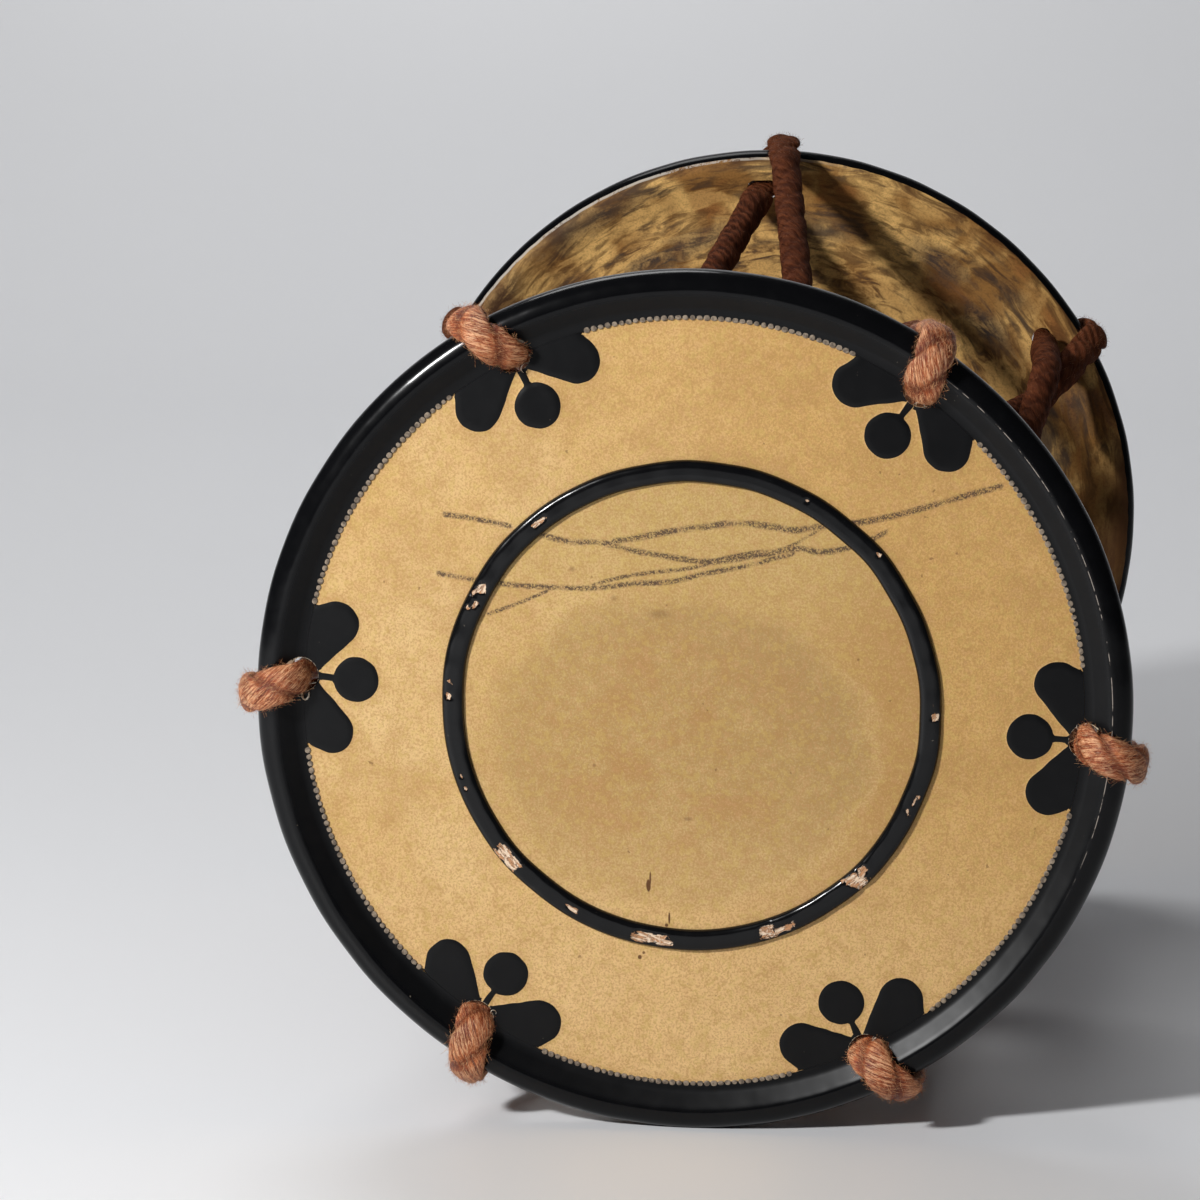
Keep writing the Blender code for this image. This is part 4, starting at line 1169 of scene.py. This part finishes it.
def cordMaterial(name, bright, light, mid, dark, dull):
    shader = Shader(name)
    point = shader.attribute("drumPoint", "Vector")
    fibre = shader.attribute("cordPoint", "Vector")
    loop = shader.attribute("loopShare")
    swirl = shader.noise(point, 5.0, 2, 0.5)
    streak = shader.noise(shader.stretch(fibre, (0.13, 1.0, 1.0)), 0.70, 4, 0.70, 0.8)
    fine = shader.noise(shader.stretch(fibre, (0.10, 1.0, 1.0)), 0.22, 2, 0.6, 0.5)
    thread = shader.noise(shader.stretch(fibre, (0.07, 1.0, 1.0), (0.0, 0.0, 0.25)), 0.20, 2, 0.5, 0.7)
    colour = shader.mix(streak.step(0.28, 0.50), dark, mid)
    colour = shader.mix(fine.step(0.48, 0.34) * 0.34, colour, dark)
    colour = shader.mix((streak * 0.7 + swirl * 0.3).step(0.44, 0.60) * 0.75, colour, light)
    colour = shader.mix(fine.step(0.56, 0.68) * 0.42, colour, bright)
    colour = shader.mix(thread.step(0.58, 0.68) * 0.46, colour, bright)
    colour = shader.mix(swirl.step(0.52, 0.36) * 0.42, colour, dark)
    groove = shader.attribute("groove")
    if not dull:
        # Painted highlight: each strand is palest along its crest
        crest = groove.step(0.45, 0.02)
        colour = shader.mix(crest * (streak + fine).step(0.94, 1.16) * 0.50, colour, bright)
    # Painted shade: darker in the grooves between the strands
    colour = shader.mix(groove.step(0.35, 1.0) * (loop * 0.25 + 0.3), colour, dark)
    normal = shader.bump(streak * 0.5 + fine * 0.3 + thread * 0.2, 0.00045, 1.0)
    if dull:
        # The legs show the turns of their twist: bumps, and painted shade in the valleys between the turns
        along, first, second = shader.split(fibre)
        lying = first.math("ARCTAN2", second) * cord["ridges"]
        ridge = (along * cord["ridgeTurn"] + lying + swirl * 5.0 + streak * 2.0).math("SINE")
        colour = shader.mix(ridge.step(0.0, -0.9) * 0.28, colour, dark)
        # The loops are paler than the legs between them: partly the cord's own tone, partly painted shade on the legs
        colour = shader.mix(loop * 0.5, colour, light)
        normal = shader.bump(ridge, 0.00026, 1.0, normal)
        return shader.finish(Base_Color=colour, Roughness=0.75, Normal=normal, Specular_IOR_Level=0.03)
    # Painted shade: darker where the loop ends and the cord turns in behind the rim
    colour = shader.mix(loop.step(0.85, 0.50) * 0.85, colour, (0.22, 0.13, 0.10), "MULTIPLY")
    return shader.finish(Base_Color=colour, Roughness=0.38 + streak * 0.18, Normal=normal, Specular_IOR_Level=0.34)


# Two kinds of stray fibres: most lie close to the cord, some stand off it
fuzz = dict(thick=0.010, seed=12, layers=[dict(length=2.1, lift=0.32, density=2.0), dict(length=1.3, lift=0.9, density=1.1)])


def fuzzTree(material):
    # Stray fibres: thin bent hairs that lie along a cord and lift from it, most of them on its loops
    tree, source, result = nodeTree("strayFibres", [
        ("Density", "NodeSocketFloat", 0.1), ("Length", "NodeSocketFloat", 2.0), ("Lift", "NodeSocketFloat", 1.0),
        ("Seed", "NodeSocketInt", fuzz["seed"])])
    new = tree.nodes.new
    loop = new("GeometryNodeInputNamedAttribute")
    loop.data_type = "FLOAT"
    loop.inputs["Name"].default_value = "loopShare"
    more = new("ShaderNodeMapRange")
    more.inputs["To Min"].default_value = 0.03
    more.inputs["To Max"].default_value = 1.0
    density = new("ShaderNodeMath")
    density.operation = "MULTIPLY"
    scatter = new("GeometryNodeDistributePointsOnFaces")
    bow = new("GeometryNodeCurveQuadraticBezier")
    bow.inputs["Resolution"].default_value = 2
    bow.inputs["Start"].default_value = (0, 0, 0)
    bow.inputs["Middle"].default_value = (0.5, 0, 0.10)
    bow.inputs["End"].default_value = (1.0, 0.12, 0.42)
    circle = new("GeometryNodeCurvePrimitiveCircle")
    circle.inputs["Resolution"].default_value = 3
    circle.inputs["Radius"].default_value = fuzz["thick"]
    hair = new("GeometryNodeCurveToMesh")
    direction = new("GeometryNodeInputNamedAttribute")
    direction.data_type = "FLOAT_VECTOR"
    direction.inputs["Name"].default_value = "strandDirection"
    align = new("FunctionNodeAlignEulerToVector")
    align.axis = "X"
    align.pivot_axis = "Z"
    turn = new("FunctionNodeRandomValue")
    turn.data_type = "FLOAT_VECTOR"
    turn.inputs[0].default_value = (-0.4, -0.16, -0.8)
    turn.inputs[1].default_value = (0.4, 0.16, 0.8)
    back = new("FunctionNodeRandomValue")
    back.data_type = "INT"
    back.inputs[4].default_value = 0
    back.inputs[5].default_value = 1
    halfTurn = new("ShaderNodeMath")
    halfTurn.operation = "MULTIPLY"
    halfTurn.inputs[1].default_value = math.pi
    around = new("ShaderNodeCombineXYZ")
    turns = new("ShaderNodeVectorMath")
    rotate = new("FunctionNodeRotateEuler")
    rotate.space = "LOCAL"
    points = new("GeometryNodeInstanceOnPoints")
    sizes = new("FunctionNodeRandomValue")
    sizes.data_type = "FLOAT"
    sizes.inputs[2].default_value = 0.35
    sizes.inputs[3].default_value = 1.5
    scale = new("ShaderNodeMath")
    scale.operation = "MULTIPLY"
    lifted = new("ShaderNodeMath")
    lifted.operation = "MULTIPLY"
    size = new("ShaderNodeCombineXYZ")
    realize = new("GeometryNodeRealizeInstances")
    paint = new("GeometryNodeSetMaterial")
    paint.inputs["Material"].default_value = material
    linkNodes(tree,
              (loop.outputs[0], more.inputs["Value"]), (more.outputs[0], density.inputs[0]),
              (source.outputs["Density"], density.inputs[1]), (density.outputs[0], scatter.inputs["Density"]),
              (source.outputs["Geometry"], scatter.inputs["Mesh"]), (source.outputs["Seed"], scatter.inputs["Seed"]),
              (bow.outputs["Curve"], hair.inputs["Curve"]), (circle.outputs["Curve"], hair.inputs["Profile Curve"]),
              (scatter.outputs["Rotation"], align.inputs["Rotation"]), (direction.outputs[0], align.inputs["Vector"]),
              (source.outputs["Seed"], turn.inputs["Seed"]), (source.outputs["Seed"], back.inputs["Seed"]),
              (back.outputs[2], halfTurn.inputs[0]), (halfTurn.outputs[0], around.inputs[2]),
              (turn.outputs[0], turns.inputs[0]), (around.outputs[0], turns.inputs[1]),
              (align.outputs[0], rotate.inputs[0]), (turns.outputs[0], rotate.inputs[1]),
              (scatter.outputs["Points"], points.inputs["Points"]), (hair.outputs["Mesh"], points.inputs["Instance"]),
              (rotate.outputs[0], points.inputs["Rotation"]), (source.outputs["Length"], scale.inputs[0]),
              (sizes.outputs[1], scale.inputs[1]), (scale.outputs[0], lifted.inputs[0]),
              (source.outputs["Lift"], lifted.inputs[1]), (scale.outputs[0], size.inputs[0]),
              (scale.outputs[0], size.inputs[1]), (lifted.outputs[0], size.inputs[2]),
              (size.outputs[0], points.inputs["Scale"]),
              (points.outputs[0], realize.inputs[0]), (realize.outputs[0], paint.inputs[0]),
              (paint.outputs[0], result.inputs[0]))
    return tree


def addFuzz(cordObject, tree, share, seed):
    # Called while the cord is still in drum millimetres
    made = []
    for number, layer in enumerate(fuzz["layers"]):
        guide = bpy.data.objects.new("fuzzGuide", cordObject.data.copy())
        bpy.context.scene.collection.objects.link(guide)
        settings = dict(Density=layer["density"] * share, Length=layer["length"], Lift=layer["lift"], Seed=seed + number)
        obj = bpy.data.objects.new(f"{cordObject.name}Fibres{number}", nodeResult(guide, tree, settings))
        bpy.context.scene.collection.objects.link(obj)
        cutFoot(obj)
        settle(obj, None)
        made.append(obj)
    return made


def fibreLook():
    shader = Shader("strayHemp")
    point = shader.attribute("drumPoint", "Vector")
    colour = shader.mix(shader.noise(point, 0.9, 2, 0.5).step(0.40, 0.60), (0.34, 0.074, 0.020), (0.90, 0.50, 0.24))
    # Fibres off the front loops are darker: partly wear, partly painted shade, as on the cords they grow from
    away = shader.split(point)[1].step(-112.0, -100.0)
    colour = shader.mix(away * 0.9, colour, (0.30, 0.19, 0.14), "MULTIPLY")
    return shader.finish(Base_Color=colour, Roughness=0.5, Specular_IOR_Level=0.3)


def cutFoot(obj):
    # The loop that the drum stands on lies flat on the ground
    inverse = np.array(place.inverted())
    points = coordinates(obj)
    world = points * mm @ np.array(place.to_3x3()).T + np.array(place.translation)
    world[:, 2] = np.maximum(world[:, 2], 0.00008)
    back = (world @ inverse[:3, :3].T + inverse[:3, 3]) / mm
    obj.data.vertices.foreach_set("co", back.astype(np.float32).ravel())


# The second copy's darker colours are partly wear and partly painted shade
hemp = cordMaterial("redHemp", (1.0, 0.63, 0.36), (0.57, 0.178, 0.056), (0.31, 0.055, 0.014), (0.070, 0.010, 0.004), False)
wornShadedHemp = cordMaterial("wornShadedHemp", (0.24, 0.085, 0.038), (0.150, 0.046, 0.019), (0.095, 0.025, 0.010),
                        (0.030, 0.008, 0.004), True)
fibreMaterial = fibreLook()
fibreNodes = fuzzTree(fibreMaterial)
pathPoints, pathValues, pathAt, pathTotal = resample(*lacingPath(), cord["step"], True)
pathPoints = smoothPath(pathPoints, True, 3)
lacing = cordRings(pathPoints, pathValues, pathAt, pathTotal, cord["radius"], True, press)
print("lacing cord is", round(pathTotal), "mm long")


def runsOnSide(points, sign):
    # Stretches of ring numbers on one side of the drum's middle, each one ring longer at both ends
    on = points[:, 1] * sign >= 0
    starts = [i for i in range(len(on)) if on[i] and not on[i - 1]]
    runs = []
    for start in starts:
        run = [start - 1]
        i = start
        while on[i % len(on)]:
            run.append(i % len(on))
            i += 1
        runs.append([r % len(on) for r in run])
    return runs


for side, info in heads.items():
    runs = runsOnSide(pathPoints, info["side"])
    obj = cordMesh(side + "Lacing", lacing, pathValues[:, 1], runs)
    cutFoot(obj)
    fibres = addFuzz(obj, fibreNodes, 1.0 if side == "front" else 0.6, info["seed"])
    settle(obj, None)
    for piece in (obj, *fibres):
        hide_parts("lacing_cord")
        ends = [place @ Vector((0, info["side"] * y * mm, 0)) for y in (cord["waistHalf"] + 2, headSpacing / 2 - 12)]
        tuple(ends[0])
        tuple(ends[1])
        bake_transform(piece)
    print(side, "lacing made,", len(runs), "loops,", len(obj.data.polygons), "faces and",
          [len(layer.data.polygons) for layer in fibres], "of its fibres")

lap = dict(radius=4.0, pitch=9.2, turns=2, start=227, dip=1.6)


def waistPath():
    leg = cord["radius"] * cord["legShare"]
    outside = cord["waist"] + leg + 0.3 + lap["radius"]
    inside = cord["waist"] - leg - 0.3 - lap["radius"]
    legs = sorted(stop[3] % 360 for stop in route)
    first, count = legs.index(lap["start"]), len(legs)
    total = lap["turns"] * count

    def legAzimuth(number):
        return legs[number % count] + 360 * (number // count)

    def lapPoint(number, share, radius):
        start, end = legAzimuth(first + number), legAzimuth(first + number + 1)
        azimuth = start + (end - start) * share
        turn = min(max((azimuth - lap["start"]) / 360, 0), lap["turns"])
        x, z = polar(radius, azimuth)
        return (x, (turn - lap["turns"] / 2) * lap["pitch"], z)

    tuck = [(s, outside + (inside - outside) * float(smoothStep((s - 0.1) / 0.8))) for s in (0.15, 0.3, 0.5, 0.7, 0.85)]
    points = [lapPoint(-2, 0.7, inside), lapPoint(-1, 0, inside)]
    points += [lapPoint(-1, 1 - s, radius) for s, radius in reversed(tuck)]
    for number in range(total):
        for share in (0, 0.25, 0.5, 0.75):
            points.append(lapPoint(number, share, outside - lap["dip"] * math.sin(math.pi * share) ** 2))
    points.append(lapPoint(total, 0, outside))
    points += [lapPoint(total, s, radius) for s, radius in tuck]
    points += [lapPoint(total + 1, 0, inside), lapPoint(total + 1, 0.3, inside)]
    return np.array(points)


waist = waistPath()
waist, waistValues, waistAt, waistTotal = resample(waist, np.ones((len(waist), 2)), cord["step"], False)
waist = smoothPath(waist, False, 10)
waistRings = cordRings(waist, waistValues * (1, 0.5), waistAt, waistTotal, lap["radius"], False, lambda p: p)
obj = cordMesh("waistCord", waistRings, waistValues[:, 1] * 0.5, [list(range(len(waist)))])
fibres = addFuzz(obj, fibreNodes, 0.25, 9)
settle(obj, None)
for piece in (obj, *fibres):
    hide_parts("waist_cord")
    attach(piece, "body")
print("waist cord is", round(waistTotal), "mm long")

# Wooden body

bodySize = dict(mouth=54.0, wall=6.0, depth=82.0, neck=23.5, bore=13.0, floor=9.0, steps=160)


def bodyMaterials():
    shader = Shader("bodyLacquer")
    point = shader.attribute("drumPoint", "Vector")
    grain = shader.noise(shader.stretch(point, (1.0, 0.12, 1.0)), 2.2, 4, 0.6)
    cloud = shader.noise(point, 20, 4, 0.6)
    wear = shader.noise(point, 6, 5, 0.7).step(0.62, 0.74)
    colour = shader.mix(cloud.step(0.35, 0.7), (0.010, 0.007, 0.006), (0.028, 0.012, 0.008))
    colour = shader.mix(wear * 0.5, colour, (0.075, 0.030, 0.014))
    normal = shader.bump(grain + cloud, 0.00018)
    outside = shader.finish(Base_Color=colour, Roughness=0.2 + grain * 0.16, Normal=normal, Coat_Weight=0.5,
                            Coat_Roughness=0.12)
    shader = Shader("bodyWood")
    point = shader.attribute("drumPoint", "Vector")
    grain = shader.noise(shader.stretch(point, (1.0, 0.08, 1.0)), 1.6, 5, 0.65)
    colour = shader.mix(grain.step(0.3, 0.7), (0.20, 0.095, 0.040), (0.36, 0.20, 0.095))
    inside = shader.finish(Base_Color=colour, Roughness=0.65 + grain * 0.15, Normal=shader.bump(grain, 0.0003))
    return outside, inside


def makeBody():
    half = headSpacing / 2 + faceTop - head["hide"] - head["gap"]
    angles = np.linspace(0, 90, 24)

    def bowl(mouth, throat, depth):
        a = np.radians(angles)
        return list(zip(throat + (mouth - throat) * np.cos(a), half - depth * np.sin(a)))

    outer = bowl(bodySize["mouth"], bodySize["neck"], bodySize["depth"])
    inner = bowl(bodySize["mouth"] - bodySize["wall"], bodySize["bore"], bodySize["depth"] - bodySize["floor"])
    profile = outer + [(r, -h) for r, h in reversed(outer)] + [(r, -h) for r, h in inner] + list(reversed(inner))
    steps = bodySize["steps"]
    azimuth = np.arange(steps) * 360 / steps
    rings = []
    for radius, h in profile:
        x, z = polar(radius, azimuth)
        rings.append(np.stack([x, np.full(steps, -h), z], axis=-1))
    obj = meshFromArrays("turnedBody", np.concatenate(rings), latheFaces(len(rings), steps, True, False, False))
    recalcNormals(obj)
    outside, inside = bodyMaterials()
    obj.data.materials.append(outside)
    obj.data.materials.append(inside)
    split = len(outer) * 2 - 1
    index = np.zeros(len(obj.data.polygons), np.int32)
    index[split * steps:] = 1
    obj.data.polygons.foreach_set("material_index", index)
    settle(obj, 50)
    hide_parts("drum_body")
    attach(obj, "body")


makeBody()
print("body made")

# Pieces that stay as they are get their finish
ironShader = Shader("forgedIron")
ironPoint = ironShader.add("ShaderNodeTexCoord", None, None, output=3)
ironTone = ironShader.add("ShaderNodeTexNoise", None, {"Vector": ironPoint, "Scale": 240.0, "Detail": 4.0})
iron = ironShader.finish(Base_Color=ironShader.mix(ironTone.step(0.4, 0.65), (0.09, 0.08, 0.075), (0.20, 0.085, 0.04)),
                         Roughness=0.5 + ironTone * 0.3, Metallic=0.7)
patchShader = Shader("deerskinPatch")
patchPoint = patchShader.add("ShaderNodeTexCoord", None, None, output=3)
patchTone = patchShader.add("ShaderNodeTexNoise", None, {"Vector": patchPoint, "Scale": 900.0, "Detail": 5.0})
patch = patchShader.finish(Base_Color=patchShader.mix(patchTone.step(0.35, 0.7), (0.50, 0.39, 0.25), (0.62, 0.52, 0.36)),
                           Roughness=0.9, Normal=patchShader.bump(patchTone, 0.0003))
for name, material in (("front_hoop", iron), ("rear_hoop", iron), ("rear_tone_patch", patch)):
    mesh = frame["nodes"][name].data
    mesh.materials.clear()
    mesh.materials.append(material)

# Floor and backdrop

stage = dict(width=6.0, front=-2.5, bend=1.0, radius=0.5, height=3.0, colour=(0.82, 0.825, 0.84))


def makeStage():
    profile = [(stage["front"], 0.0), (stage["bend"], 0.0)]
    for i in range(1, 13):
        a = math.pi / 2 * i / 12
        profile.append((stage["bend"] + stage["radius"] * math.sin(a), stage["radius"] * (1 - math.cos(a))))
    profile.append((stage["bend"] + stage["radius"], stage["height"]))
    points = [(x, y, z) for y, z in profile for x in (-stage["width"] / 2, stage["width"] / 2)]
    faces = [(2 * i, 2 * i + 1, 2 * i + 3, 2 * i + 2) for i in range(len(profile) - 1)]
    obj = meshFromArrays("studioSweep", points, faces)
    obj.data.shade_smooth()
    shader = Shader("studioSweep")
    obj.data.materials.append(shader.finish(Base_Color=stage["colour"], Roughness=0.45))


makeStage()

# Camera, in the drum's frame from the struck head's centre, in millimetres

view = dict(position=(95.39, -1090.17, 246.00), right=(0.99435, 0.10611, 0.0), up=(-0.02106, 0.19735, 0.98010),
            forward=(-0.10400, 0.97457, -0.19847), fieldOfView=13.886)
camera = bpy.data.objects.new("camera", bpy.data.cameras.new("camera"))
bpy.context.scene.collection.objects.link(camera)
right, up = Vector(view["right"]).normalized(), Vector(view["up"])
back = -Vector(view["forward"])
up = back.cross(right).normalized()
back = right.cross(up)
pose = Matrix((right, up, back)).transposed().to_4x4()
pose.translation = (Vector(view["position"]) + Vector((0, -headSpacing / 2, 0))) * mm
camera.matrix_world = place @ pose
camera.data.sensor_fit = "HORIZONTAL"
camera.data.angle = math.radians(view["fieldOfView"])
camera.data.clip_start = 0.05
camera.data.clip_end = 20
bpy.context.scene.camera = camera

# Light: a lamp up to the left in front, one over the backdrop, and a soft surround

lamps = [
    dict(name="keyLamp", at=(-0.62, -0.80, 0.62), target=(0, 0, 0.1), size=0.11, power=12.3),
    dict(name="backdropLamp", at=(-0.4, 0.75, 1.5), target=(0.1, 1.15, 0.0), size=0.8, power=10.0),
]
for lampInfo in lamps:
    data = bpy.data.lights.new(lampInfo["name"], "AREA")
    data.shape = "DISK"
    data.size = lampInfo["size"]
    data.energy = lampInfo["power"]
    lamp = bpy.data.objects.new(lampInfo["name"], data)
    bpy.context.scene.collection.objects.link(lamp)
    lamp.location = lampInfo["at"]
    direction = Vector(lampInfo["target"]) - Vector(lampInfo["at"])
    lamp.rotation_euler = direction.to_track_quat("-Z", "Y").to_euler()

world = bpy.data.worlds.new("surround")
bpy.context.scene.world = world
world.use_nodes = True
world.node_tree.nodes["Background"].inputs["Color"].default_value = (0.86, 0.90, 1.0, 1)
world.node_tree.nodes["Background"].inputs["Strength"].default_value = 0.045
bpy.context.scene.view_settings.view_transform = "Standard"
